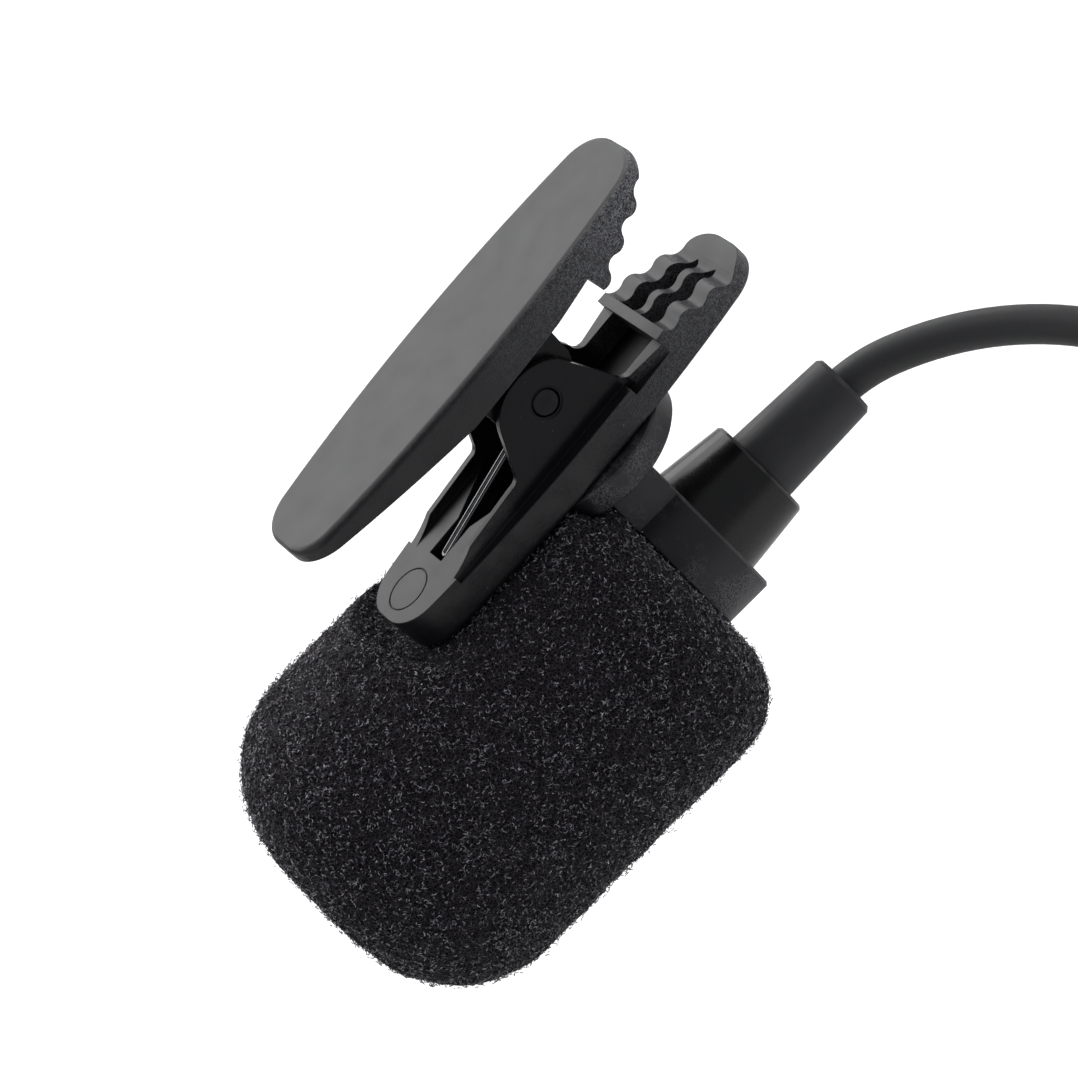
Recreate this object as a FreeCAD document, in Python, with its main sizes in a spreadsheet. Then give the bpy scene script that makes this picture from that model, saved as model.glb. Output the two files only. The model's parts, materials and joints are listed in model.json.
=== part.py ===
import FreeCAD, Part

import math
import os

import Sketcher

# A clip-on (lavalier) microphone: a spring clip, a ring that swivels under it, the microphone held in
# the ring with its capsule and foam windscreen, and a short length of cable with its 3.5 mm plug.
#
# Row frame: millimetres, +Z up. The origin is the middle of the clip's bite, just above the fixed jaw's
# teeth. +X points out of the clip's mouth, and Y is along the hinge pin.
# Microphone frame: its +X runs along the microphone from windscreen to cable, and its origin is on the
# microphone's axis, under the middle of the clip's swivel. The clip is turned about that swivel, and
# it leans so that its tail rests in the foam.

SIZES = {
    # where the microphone hangs under the clip
    "swivel_x": -10.4,
    "clip_height": 11.3,
    "swivel_angle": 4.75,
    "clip_lean": 3.4,
    # the clip, seen from above
    "clip_widest_x": -10.0,
    "jaw_half_width": 4.75,
    "jaw_tip_x": 5.2,
    "jaw_tip_half_width": 3.4,
    "jaw_tail_x": -28.0,
    "jaw_tail_half_width": 3.1,
    "lever_half_width": 5.1,
    "lever_tip_x": 5.0,
    "lever_tip_half_width": 3.6,
    "lever_tail_x": -28.7,
    "lever_tail_half_width": 3.6,
    "corner_radius": 2.95,
    "edge_radius": 0.5,
    # the clip, seen from the side
    "jaw_back_z": -2.9,
    "ledge_z": -0.35,
    "rail_ledge_z": -0.95,
    "jaw_floor_z": -1.9,
    "tail_pad_z": 0.1,
    "rail_z": -0.2,
    "bite_wall_z": 0.42,
    "rail_end_half_width": 4.35,
    "ear_top_z": 5.98,
    "pivot_x": -10.78,
    "pivot_z": 3.2,
    "lever_top_z": 9.65,
    "lever_under_z": 6.95,
    "lever_skin": 1.2,
    "lever_wall": 1.1,
    # ears and hinge
    "jaw_ear_outside": 3.6,
    "jaw_ear_inside": 3.0,
    "lever_ear_outside": 2.88,
    "lever_ear_inside": 2.1,
    "pin_radius": 1.0,
    "pin_half_length": 3.48,
    "jaw_pin_hole": 1.02,
    "jaw_pin_recess": 1.16,
    "pin_recess_depth": 0.12,
    "lever_pin_hole": 1.06,
    # teeth
    "tooth_pitch": 2.3,
    "jaw_tooth_start_x": -2.3,
    "jaw_tooth_line_z": -0.4,
    "jaw_tooth_slope": 17.2,
    "jaw_tooth_height": 0.25,
    "lever_tooth_start_x": -3.025,
    "lever_tooth_slope": 20.0,
    "lever_tooth_line_z": 7.08,
    "lever_tooth_height": 0.3,
    "cross_wall": 0.8,
    "centre_rib": 0.9,
    "channel_outer_y": 2.45,
    # torsion spring
    "wire_radius": 0.17,
    "coil_radius": 1.4,
    "coil_turns": 2.0,
    "coil_outer_y": 1.85,
    "lever_leg_x": -19.5,
    "lever_leg_z": 8.25,
    "jaw_leg_x": -22.2,
    "jaw_leg_z": -0.35,
    "leg_half_gap": 0.26,
    # ring holder
    "ring_radius": 5.9,
    "ring_bore": 4.48,
    "ring_front_x": -2.2,
    "ring_rear_x": 1.6,
    "neck_half_width": 3.0,
    "disc_radius": 5.7,
    "disc_low_z": 9.2,
    "disc_top_z": 11.2,
    "stud_radius": 1.93,
    "stud_head": 2.3,
    "stud_top_z": 13.6,
    "stud_slot": 0.8,
    "swivel_bore": 2.0,
    # microphone housings
    "barrel_radius": 4.42,
    "barrel_bore": 3.3,
    "housing_end_x": 6.72,
    "housing_end_radius": 3.85,
    "housing_joint_x": -8.0,
    "spigot_radius": 3.77,
    "spigot_length": 3.0,
    "front_bore": 3.8,
    "barrel_front_x": -22.0,
    "front_opening": 3.3,
    "grille_radius": 4.0,
    "grille_thickness": 0.35,
    "grille_hole": 0.27,
    "grille_spacing": 0.85,
    # electret capsule
    "capsule_radius": 3.0,
    "capsule_front_x": -20.5,
    "capsule_length": 2.7,
    "capsule_wall": 0.2,
    "capsule_inside": 2.75,
    "boot_radius": 3.77,
    # foam windscreen
    "foam_radius": 12.7,
    "foam_front_x": -34.5,
    "foam_rear_x": -2.7,
    "foam_front_round": 8.5,
    "foam_rear_round": 5.0,
    "foam_cavity": 4.5,
    "foam_cavity_front_x": -23.5,
    "clip_sweep_radius": 19.0,
    "foam_flat_z": 10.6,
    "disc_gap": 0.3,
    # strain relief and cable
    "relief_base_radius": 2.72,
    "relief_end_radius": 2.42,
    "relief_end_x": 14.6,
    "jacket_radius": 1.34,
    "shield_radius": 0.85,
    "core_radius": 0.5,
    "conductor_radius": 0.2,
    "layer_gap": 0.03,
    "bend_start_x": 13.6,
    "first_bend_radius": 11.0,
    "first_bend_angle": 24.0,
    "second_bend_radius": 23.0,
    "second_bend_angle": 58.0,
    "third_bend_radius": 20.0,
    "cable_tilt": 29.0,
    "cable_end_run": 10.0,
    # plug
    "plug_radius": 1.75,
    "plug_length": 14.0,
    "sleeve_step": 0.35,
    "handle_radius": 3.3,
    "handle_length": 14.0,
    "plug_relief_length": 8.0,
    "core_tube_radius": 0.8,
    "tip_rod_radius": 0.45,
}

doc = FreeCAD.newDocument("lavalier_microphone")
sheet = doc.addObject("Spreadsheet::Sheet", "size")
for row, (alias, number) in enumerate(SIZES.items(), start=1):
    sheet.set(f"A{row}", alias.replace("_", " "))
    sheet.set(f"B{row}", str(number))
    sheet.setAlias(f"B{row}", alias)
doc.recompute()

sub_parts = []


# ---------------------------------------------------------------- helpers


def value(expression):
    """The number an expression on the sheet stands for now."""
    result = sheet.evalExpression(str(expression))
    return float(getattr(result, "Value", result))


def size(alias):
    """A size read straight from the sheet, for the shapes made by Part's functions."""
    return float(sheet.get(alias))


def bind(thing, **expressions):
    for name, expression in expressions.items():
        thing.setExpression(name, str(expression))


def hang_from_clip(thing):
    """Places a sub-part that is drawn in the microphone frame: leaned under the clip, then swivelled."""
    swivel = "create(<<rotation>>; create(<<vector>>; 0; 0; -1); size.swivel_angle)"
    lean = "create(<<rotation>>; create(<<vector>>; 0; 1; 0); size.clip_lean)"
    seat = "create(<<vector>>; size.swivel_x; 0; size.jaw_back_z)"
    drop = "create(<<vector>>; 0; 0; -size.clip_height)"
    turned = f"{swivel} * {lean}"
    thing.setExpression("Placement", f"create(<<placement>>; {seat} + {turned} * {drop}; {turned})")


def new_body(label):
    body = doc.addObject("PartDesign::Body", label)
    sub_parts.append(body)
    return body


def new_sketch(body, plane, lift=0, sideways=0, along=0, lean_axis=None):
    """A sketch on one of the body's own planes, lifted off it and shifted along it by expressions. With
    a lean axis it is also turned about it by the clip's lean."""
    planes = {feature.Role: feature for feature in body.Origin.OriginFeatures}
    sketch = body.newObject("Sketcher::SketchObject", f"{body.Label}_sketch")
    sketch.AttachmentSupport = [(planes[f"{plane}_Plane"], "")]
    sketch.MapMode = "FlatFace"
    if lean_axis:
        sketch.AttachmentOffset = FreeCAD.Placement(
            FreeCAD.Vector(), FreeCAD.Rotation(FreeCAD.Vector(*lean_axis), size("clip_lean")))
        sketch.setExpression("AttachmentOffset.Rotation.Angle", "size.clip_lean")
    sketch.setExpression("AttachmentOffset.Base.x", str(along))
    sketch.setExpression("AttachmentOffset.Base.y", str(sideways))
    sketch.setExpression("AttachmentOffset.Base.z", str(lift))
    return sketch


def pin_point(sketch, geometry, end, corner):
    """Holds one point of a sketch at two expressions, measured from the sketch's origin."""
    for direction, expression in zip(("DistanceX", "DistanceY"), corner):
        number = value(expression)
        index = sketch.addConstraint(Sketcher.Constraint(direction, -1, 1, geometry, end, number))
        sketch.setExpression(f"Constraints[{index}]", str(expression))


def add_segment(sketch, start, corner):
    """A line, or an arc drawn counterclockwise. Returns which of its ends is first on the route."""
    end = FreeCAD.Vector(value(corner[0]), value(corner[1]), 0)
    if len(corner) == 2:
        sketch.addGeometry(Part.LineSegment(start, end), False)
        return end, (1, 2)
    via = FreeCAD.Vector(value(corner[2][0]), value(corner[2][1]), 0)
    if (via - start).cross(end - via).z < 0:
        sketch.addGeometry(Part.Arc(end, via, start), False)
        return end, (2, 1)
    sketch.addGeometry(Part.Arc(start, via, end), False)
    return end, (1, 2)


def draw_route(sketch, corners, closed=False):
    """A run of lines and arcs. A corner (x, y) is reached by a line, and (x, y, (via_x, via_y)) by an arc."""
    route = corners if closed else corners[1:]
    begin = corners[-1] if closed else corners[0]
    place = FreeCAD.Vector(value(begin[0]), value(begin[1]), 0)
    ends = []
    for corner in route:
        place, order = add_segment(sketch, place, corner)
        ends.append(order)
    if not closed:
        pin_point(sketch, 0, ends[0][0], begin[:2])
    for i, corner in enumerate(route):
        if i or closed:
            sketch.addConstraint(Sketcher.Constraint(
                "Coincident", (i - 1) % len(route), ends[i - 1][1], i, ends[i][0]))
        pin_point(sketch, i, ends[i][1], corner[:2])
    for i, corner in enumerate(route):
        if len(corner) == 3:
            via = FreeCAD.Vector(value(corner[2][0]), value(corner[2][1]), 0)
            point = sketch.addGeometry(Part.Point(via), True)
            pin_point(sketch, point, 1, corner[2])
            sketch.addConstraint(Sketcher.Constraint("PointOnObject", point, 1, i))
    return sketch


def draw_outline(sketch, corners):
    return draw_route(sketch, corners, closed=True)


def draw_circle(sketch, centre, radius):
    place = FreeCAD.Vector(value(centre[0]), value(centre[1]), 0)
    circle = sketch.addGeometry(Part.Circle(place, FreeCAD.Vector(0, 0, 1), value(radius)), False)
    index = sketch.addConstraint(Sketcher.Constraint("Radius", circle, value(radius)))
    sketch.setExpression(f"Constraints[{index}]", str(radius))
    pin_point(sketch, circle, 3, centre)
    return sketch


def volume(body):
    return 0 if body.Shape.isNull() else body.Shape.Volume


def extrude(body, kind, sketch, length, flip=False, both_ways=False):
    """A Pad or a Pocket. It must change the body's volume the way its kind says."""
    doc.recompute()
    before = volume(body)
    feature = body.newObject(f"PartDesign::{kind}", f"{body.Label}_{kind.lower()}")
    feature.Profile = sketch
    feature.SideType = "Symmetric" if both_ways else "One side"
    feature.Reversed = flip
    bind(feature, Length=length)
    doc.recompute()
    change = volume(body) - before
    if (change > 0) != (kind == "Pad") or abs(change) < 1e-3:
        raise RuntimeError(f"{feature.Name} of {body.Label} changes the volume by {change}")
    return feature


def turn(body, corners, axis="H_Axis", plane="XZ", **where):
    """A full revolution of an outline about one of its sketch's axes."""
    sketch = draw_outline(new_sketch(body, plane, **where), corners)
    feature = body.newObject("PartDesign::Revolution", f"{body.Label}_turned")
    feature.Profile = sketch
    feature.ReferenceAxis = (sketch, [axis])
    feature.Angle = 360
    doc.recompute()
    return feature


def turned(label, corners, **where):
    """A sub-part turned about the microphone's axis: its corners are (x, radius)."""
    body = new_body(label)
    turn(body, corners, **where)
    hang_from_clip(body)
    return body


def tube(label, front, rear, outer, inner):
    return turned(label, [(front, inner), (front, outer), (rear, outer), (rear, inner)])


def round_edges(body, radius, wanted):
    """A fillet on every edge whose bounding box passes the test."""
    names = [f"Edge{i}" for i, edge in enumerate(body.Shape.Edges, start=1) if wanted(edge.BoundBox)]
    fillet = body.newObject("PartDesign::Fillet", f"{body.Label}_fillet")
    fillet.Base = (body.Tip if body.Tip != fillet else fillet.BaseFeature, names)
    bind(fillet, Radius=radius)
    doc.recompute()
    return fillet


def is_upright(box):
    return box.ZLength > 1.0 and box.XLength < 1e-3 and box.YLength < 1e-3


def lies_at(height):
    return lambda box: box.ZLength < 1e-3 and abs(box.ZMin - height) < 1e-3


# ---------------------------------------------------------------- the clip


# Lengths of the cuts that pass right through the clip, and places along the jaw that several cuts share.
ACROSS = 24
TALL = 12
JAW_WALL_X = "size.jaw_tooth_start_x - size.cross_wall"
EAR_FRONT_X = -6.2
PAD_FRONT_X = -23.2
EJECTOR_X = -25.65


def slab_outline(slab):
    """A long slab with gently bowed sides, seen from above: the jaw's or the lever's."""
    tip_x, tip_y = f"size.{slab}_tip_x", f"size.{slab}_tip_half_width"
    tail_x, tail_y = f"size.{slab}_tail_x", f"size.{slab}_tail_half_width"
    return [
        (tip_x, tip_y),
        (tail_x, tail_y, ("size.clip_widest_x", f"size.{slab}_half_width")),
        (tail_x, f"-{tail_y}"),
        (tip_x, f"-{tip_y}", ("size.clip_widest_x", f"-size.{slab}_half_width")),
    ]


def tooth_waves(start_x, line_z, rise, height, waves, first_sign):
    """Arcs that swing half a pitch at a time about a sloping tooth line, from its start to its end."""
    corners = []
    for i in range(waves):
        sign = first_sign * (-1) ** i
        middle = f"({start_x} + {i + 0.5} * size.tooth_pitch / 2)"
        end = f"({start_x} + {i + 1} * size.tooth_pitch / 2)"
        via = (middle, f"{line_z} + {rise} * {middle} + {sign} * {height}")
        corners.append((end, f"{line_z} + {rise} * {end}", via))
    return corners


def clip_jaw():
    """The fixed jaw: base plate with a ledge, two ears, a tail pad, and a toothed nose."""
    body = new_body("clip_jaw")
    plan = draw_outline(new_sketch(body, "XY", lift="size.jaw_back_z"), slab_outline("jaw"))
    extrude(body, "Pad", plan, "size.ear_top_z - size.jaw_back_z + 1")
    round_edges(body, "size.corner_radius", is_upright)
    round_edges(body, "size.edge_radius", lies_at(size("jaw_back_z")))
    extrude(body, "Pocket", draw_outline(new_sketch(body, "XZ"), jaw_side()), ACROSS, both_ways=True)
    for sign in ("", "-"):
        wall = f"{sign}size.jaw_ear_outside"
        beyond = f"{sign}(size.jaw_half_width + 1)"
        ear_ledge = [
            (EAR_FRONT_X, wall),
            (EAR_FRONT_X, beyond),
            (PAD_FRONT_X, beyond),
            (PAD_FRONT_X, f"{wall} - {sign}0.1"),
        ]
        rail_ledge = [
            (EAR_FRONT_X - 0.4, wall),
            (EAR_FRONT_X - 0.4, beyond),
            (JAW_WALL_X, beyond),
            (JAW_WALL_X, f"{sign}size.rail_end_half_width"),
        ]
        for level, outline in (("size.ledge_z", ear_ledge), ("size.rail_ledge_z", rail_ledge)):
            ledge = draw_outline(new_sketch(body, "XY", lift=level), outline)
            extrude(body, "Pocket", ledge, TALL, flip=True)
    inner = "size.jaw_ear_inside"
    between_ears = [
        (PAD_FRONT_X, f"{inner} - 0.35"),
        (PAD_FRONT_X + 2.2, inner),
        (EAR_FRONT_X - 0.6, inner),
        (EAR_FRONT_X - 0.6, f"-{inner}"),
        (PAD_FRONT_X + 2.2, f"-{inner}"),
        (PAD_FRONT_X, f"-({inner} - 0.35)"),
    ]
    floor = new_sketch(body, "XY", lift="size.tail_pad_z")
    extrude(body, "Pocket", draw_outline(floor, between_ears), TALL, flip=True)
    well = [
        ("size.jaw_leg_x - 0.7", 0.9),
        ("size.jaw_leg_x + 2.2", 0.9),
        (-17.0, 2.5),
        (-16.0, inner),
        (JAW_WALL_X, inner),
        (JAW_WALL_X, f"-{inner}"),
        (-16.0, f"-{inner}"),
        (-17.0, -2.5),
        ("size.jaw_leg_x + 2.2", -0.9),
        ("size.jaw_leg_x - 0.7", -0.9),
    ]
    floor = new_sketch(body, "XY", lift="size.jaw_floor_z")
    extrude(body, "Pocket", draw_outline(floor, well), TALL, flip=True)
    for sign in (1, -1):
        channel = tooth_channel(body, sign, "size.jaw_tooth_start_x", "size.jaw_floor_z")
        extrude(body, "Pocket", channel, TALL, flip=True)
    hole = draw_circle(new_sketch(body, "XZ"), ("size.pivot_x", "size.pivot_z"), "size.jaw_pin_hole")
    extrude(body, "Pocket", hole, ACROSS, both_ways=True)
    for sign in ("-", ""):
        recess = new_sketch(body, "XZ", lift=f"{sign}(size.jaw_ear_outside - size.pin_recess_depth)")
        draw_circle(recess, ("size.pivot_x", "size.pivot_z"), "size.jaw_pin_recess")
        extrude(body, "Pocket", recess, 3, flip=sign == "")
    swivel = new_sketch(body, "XY", lift="size.jaw_back_z")
    draw_circle(swivel, ("size.swivel_x", 0), "size.swivel_bore")
    extrude(body, "Pocket", swivel, 2, flip=True)
    mark = new_sketch(body, "XY", lift="size.tail_pad_z")
    draw_circle(mark, (EJECTOR_X, 0), 1.66)
    draw_circle(mark, (EJECTOR_X, 0), 1.56)
    extrude(body, "Pocket", mark, 0.1)
    return body


def jaw_side():
    """The space above the jaw, seen from the side: over the pad, the low walls, the ears and the teeth."""
    fall = "-tan(size.jaw_tooth_slope * 1 deg)"
    beyond = 3
    line = "size.jaw_tooth_line_z"
    side = [
        (f"size.jaw_tail_x - {beyond}", "size.tail_pad_z"),
        (PAD_FRONT_X, "size.tail_pad_z"),
        (-21.0, 0.68, (-22.1, 0.3)),
        (-16.4, 1.0),
        (-15.6, 1.5, (-15.9, 1.12)),
        (-14.2, 4.3),
        ("size.pivot_x - 0.4", "size.ear_top_z", (-13.1, 5.45)),
        (-8.2, 4.7, (-9.35, 5.62)),
        (-6.6, 0.75),
        (-5.8, "size.rail_z", (-6.3, 0.02)),
        (JAW_WALL_X, "size.rail_z"),
        (JAW_WALL_X, "size.bite_wall_z"),
        ("size.jaw_tooth_start_x", "size.bite_wall_z"),
        ("size.jaw_tooth_start_x", f"{line} + {fall} * size.jaw_tooth_start_x"),
    ]
    side += tooth_waves("size.jaw_tooth_start_x", line, fall, "size.jaw_tooth_height", 5, -1)
    return side + [
        ("size.jaw_tip_x + 1", f"{line} - 1.9", ("size.jaw_tip_x - 0.7", f"{line} - 0.92")),
        (f"size.jaw_tip_x + {beyond}", f"size.ear_top_z + {beyond}"),
        (f"size.jaw_tail_x - {beyond}", f"size.ear_top_z + {beyond}"),
    ]


def tooth_channel(body, sign, start_x, level):
    """One of the two open channels between the toothed ribs, ending in a curved point near the tip."""
    inner = f"{sign} * size.centre_rib / 2"
    outer = f"{sign} * size.channel_outer_y"
    corners = [
        (start_x, inner),
        (f"{start_x} + 4.3", inner),
        (f"{start_x} + 5.45", f"{sign} * 1.3", (f"{start_x} + 5.05", f"{sign} * 0.78")),
        (f"{start_x} + 3.6", f"{outer} - {sign} * 0.35", (f"{start_x} + 4.65", f"{sign} * 1.72")),
        (start_x, outer),
    ]
    return draw_outline(new_sketch(body, "XY", lift=level), corners)


def clip_lever():
    """The moving jaw: a flat slab with a hollow underside, a toothed nose and two ears on the pin."""
    body = new_body("clip_lever")
    plan = draw_outline(new_sketch(body, "XY", lift="size.lever_top_z"), slab_outline("lever"))
    extrude(body, "Pad", plan, "size.lever_top_z - size.ledge_z", flip=True)
    round_edges(body, "size.corner_radius", is_upright)
    round_edges(body, "size.edge_radius", lies_at(size("lever_top_z")))
    extrude(body, "Pocket", draw_outline(new_sketch(body, "XZ"), lever_underside()), ACROSS, both_ways=True)
    start = "size.lever_tooth_start_x"
    inside = "size.lever_half_width - size.lever_wall"
    hollow_tail_x, hollow_widest_x = -23.6, -13
    hollow = [
        (f"{start} - 1.0", f"{inside} - 0.45"),
        (hollow_tail_x, f"{inside} - 0.9", (hollow_widest_x, f"{inside} - 0.1")),
        (hollow_tail_x, f"-({inside} - 0.9)"),
        (f"{start} - 1.0", f"-({inside} - 0.45)", (hollow_widest_x, f"-({inside} - 0.1)")),
    ]
    ceiling = "size.lever_top_z - size.lever_skin"
    extrude(body, "Pocket", draw_outline(new_sketch(body, "XY", lift=ceiling), hollow), TALL)
    for sign in (1, -1):
        extrude(body, "Pocket", tooth_channel(body, sign, f"{start} + size.cross_wall", ceiling), TALL)
    ears = [
        ("size.pivot_x + 3.9", f"{ceiling} + 0.2"),
        ("size.pivot_x + 3.5", "size.pivot_z + 0.8"),
        ("size.pivot_x + 2.3", "size.pivot_z - 1.6"),
        ("size.pivot_x - 2.3", "size.pivot_z - 1.6", ("size.pivot_x", "size.pivot_z - 2.8")),
        ("size.pivot_x - 3.1", "size.pivot_z + 1.2"),
        ("size.pivot_x - 3.1", f"{ceiling} + 0.2"),
    ]
    outline = draw_outline(new_sketch(body, "XZ"), ears)
    extrude(body, "Pad", outline, "2 * size.lever_ear_outside", both_ways=True)
    gap = [
        ("size.pivot_x + 5", ceiling),
        ("size.pivot_x + 5", 0),
        ("size.pivot_x - 5", 0),
        ("size.pivot_x - 5", ceiling),
    ]
    outline = draw_outline(new_sketch(body, "XZ"), gap)
    extrude(body, "Pocket", outline, "2 * size.lever_ear_inside", both_ways=True)
    hole = draw_circle(new_sketch(body, "XZ"), ("size.pivot_x", "size.pivot_z"), "size.lever_pin_hole")
    extrude(body, "Pocket", hole, ACROSS, both_ways=True)
    return body


def lever_underside():
    """The space under the lever, seen from the side: it thins to the tail, and the nose is toothed."""
    rise = "tan(size.lever_tooth_slope * 1 deg)"
    start, line, tip = "size.lever_tooth_start_x", "size.lever_tooth_line_z", "size.lever_tip_x"
    beyond = 3
    under = [
        (f"size.lever_tail_x - {beyond}", "size.lever_under_z + 2.05"),
        (-15.0, "size.lever_under_z", (-22.0, "size.lever_under_z + 0.82")),
        (-6.5, "size.lever_under_z + 0.15"),
        (f"{start} - 0.1", "size.lever_under_z + 0.45"),
        (start, f"{line} + {rise} * {start}"),
    ]
    under += tooth_waves(start, line, rise, "size.lever_tooth_height", 6, -1)
    return under + [
        (f"{tip} + 0.4", "size.lever_top_z", (f"{tip} - 0.35", "size.lever_top_z - 0.8")),
        (f"{tip} + {beyond}", "size.lever_top_z"),
        (f"{tip} + {beyond}", f"size.ledge_z - {beyond}"),
        (f"size.lever_tail_x - {beyond}", f"size.ledge_z - {beyond}"),
    ]


def hinge_pin():
    """A plain steel pin with chamfered ends, along Y."""
    body = new_body("hinge_pin")
    corners = [
        (0, "-size.pin_half_length"),
        ("size.pin_radius - 0.15", "-size.pin_half_length"),
        ("size.pin_radius", "-size.pin_half_length + 0.15"),
        ("size.pin_radius", "size.pin_half_length - 0.15"),
        ("size.pin_radius - 0.15", "size.pin_half_length"),
        (0, "size.pin_half_length"),
    ]
    turn(body, corners, axis="V_Axis", plane="XY")
    body.setExpression("Placement.Base.x", "size.pivot_x")
    body.setExpression("Placement.Base.z", "size.pivot_z")
    return body


def swept_wire(label, points, radius):
    """A round wire along a smooth curve through the points."""
    curve = Part.BSplineCurve()
    curve.interpolate(points)
    path = Part.Wire([curve.toShape()])
    start = curve.tangent(curve.FirstParameter)[0]
    profile = Part.Wire([Part.makeCircle(radius, points[0], start)])
    feature = doc.addObject("Part::Feature", label)
    feature.Shape = path.makePipeShell([profile], True, True)
    sub_parts.append(feature)
    return feature


def leg_angle(leg_x, leg_z, over):
    """The angle at which a leg that ends there leaves the coil, over its top (1) or its bottom (-1)."""
    across, up = leg_x - size("pivot_x"), leg_z - size("pivot_z")
    return math.atan2(up, across) - over * math.acos(size("coil_radius") / math.hypot(across, up))


def coil_edges():
    """The centreline of one coil as quarter turns, from the lever's leg outside to the jaw's leg inside.
    It moves sideways slowly at each end, so that both legs leave it square to the pin."""
    first = leg_angle(size("lever_leg_x"), size("lever_leg_z"), 1)
    last = leg_angle(size("jaw_leg_x"), size("jaw_leg_z"), -1)
    turns = size("coil_turns") + ((first - last) / (2 * math.pi)) % 1
    outer, inner, coil = size("coil_outer_y"), size("leg_half_gap"), size("coil_radius")

    def point(share):
        angle = first - share * turns * 2 * math.pi
        ease = share * share * (3 - 2 * share)
        return FreeCAD.Vector(size("pivot_x") + coil * math.cos(angle), outer + (inner - outer) * ease,
                              size("pivot_z") + coil * math.sin(angle))

    def heading(share):
        return (point(share + 0.0001) - point(share - 0.0001)).normalize()

    spans = math.ceil(4 * turns)
    edges = []
    for i in range(spans):
        start, middle, end = i / spans, (i + 0.5) / spans, (i + 1) / spans
        curve = Part.BSplineCurve()
        curve.interpolate([point(start), point(middle), point(end)], InitialTangent=heading(start),
                          FinalTangent=heading(end))
        edges.append(curve.toShape())
    return edges, point(0), point(1)


def torsion_spring():
    """A double torsion spring of one wire: two coils round the pin, a leg from each coil up to the
    lever, and two legs down to the jaw's slot, where the wire turns back."""
    gap, sweep_tolerance = size("leg_half_gap"), 0.002
    coil, coil_start, coil_end = coil_edges()
    lever_end = FreeCAD.Vector(size("lever_leg_x"), size("coil_outer_y"), size("lever_leg_z"))
    jaw_end = FreeCAD.Vector(size("jaw_leg_x"), gap, size("jaw_leg_z"))
    jaw_end_mirrored = FreeCAD.Vector(jaw_end.x, -gap, jaw_end.z)
    bend_middle = FreeCAD.Vector(jaw_end.x, 0, jaw_end.z) + (jaw_end - coil_end).normalize() * gap
    half = [Part.makeLine(lever_end, coil_start), *coil, Part.makeLine(coil_end, jaw_end)]
    other_half = [edge.mirror(FreeCAD.Vector(), FreeCAD.Vector(0, 1, 0)) for edge in reversed(half)]
    bend = Part.Arc(jaw_end, bend_middle, jaw_end_mirrored).toShape()
    sweep = Part.BRepOffsetAPI.MakePipeShell(Part.Wire([*half, bend, *other_half]))
    sweep.setTolerance(sweep_tolerance, sweep_tolerance, 0.01)
    sweep.add(Part.Wire([Part.makeCircle(size("wire_radius"), lever_end, coil_start - lever_end)]))
    sweep.build()
    sweep.makeSolid()
    feature = doc.addObject("Part::Feature", "torsion_spring")
    feature.Shape = sweep.shape()
    sub_parts.append(feature)
    return feature


# ---------------------------------------------------------------- ring holder


def ring_holder():
    """A ring round the microphone, a neck above it, and a disc with a split stud that snaps into the jaw."""
    body = new_body("ring_holder")
    edge = 0.2
    turn(body, [
        ("size.ring_front_x", "size.ring_bore"),
        ("size.ring_front_x", f"size.ring_radius - {edge}"),
        (f"size.ring_front_x + {edge}", "size.ring_radius"),
        (f"size.ring_rear_x - {edge}", "size.ring_radius"),
        ("size.ring_rear_x", f"size.ring_radius - {edge}"),
        ("size.ring_rear_x", "size.ring_bore"),
    ])
    neck = [
        ("size.ring_front_x + 0.1", "-size.neck_half_width"),
        ("size.ring_front_x + 0.1", "size.neck_half_width"),
        ("size.ring_rear_x - 0.1", "size.neck_half_width"),
        ("size.ring_rear_x - 0.1", "-size.neck_half_width"),
    ]
    base = "size.ring_bore + 0.3"
    foot = draw_outline(new_sketch(body, "XY", lift=base), neck)
    extrude(body, "Pad", foot, f"size.disc_low_z - ({base}) + 0.5")
    disc_low, disc_top, stud_top = (
        f"(size.{name} - size.clip_height)" for name in ("disc_low_z", "disc_top_z", "stud_top_z"))
    turn(body, [
        (0, disc_low),
        ("size.disc_radius - 0.3", disc_low),
        ("size.disc_radius", f"{disc_low} + 0.3"),
        ("size.disc_radius", f"{disc_top} - 0.15"),
        ("size.disc_radius - 0.15", disc_top),
        ("size.stud_radius", disc_top),
        ("size.stud_radius", f"{stud_top} - 0.9"),
        ("size.stud_head", f"{stud_top} - 0.8"),
        ("size.stud_head", f"{stud_top} - 0.6"),
        ("size.stud_radius - 0.3", stud_top),
        (0, stud_top),
    ], axis="V_Axis", sideways="size.clip_height", lean_axis=(0, 0, 1))
    slot = [
        ("-size.stud_slot / 2", "-size.stud_head - 1"),
        ("-size.stud_slot / 2", "size.stud_head + 1"),
        ("size.stud_slot / 2", "size.stud_head + 1"),
        ("size.stud_slot / 2", "-size.stud_head - 1"),
    ]
    split = draw_outline(new_sketch(body, "XY", lift="size.disc_top_z + 0.15"), slot)
    extrude(body, "Pocket", split, 5, flip=True)
    hang_from_clip(body)
    return body


# ---------------------------------------------------------------- microphone


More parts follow.
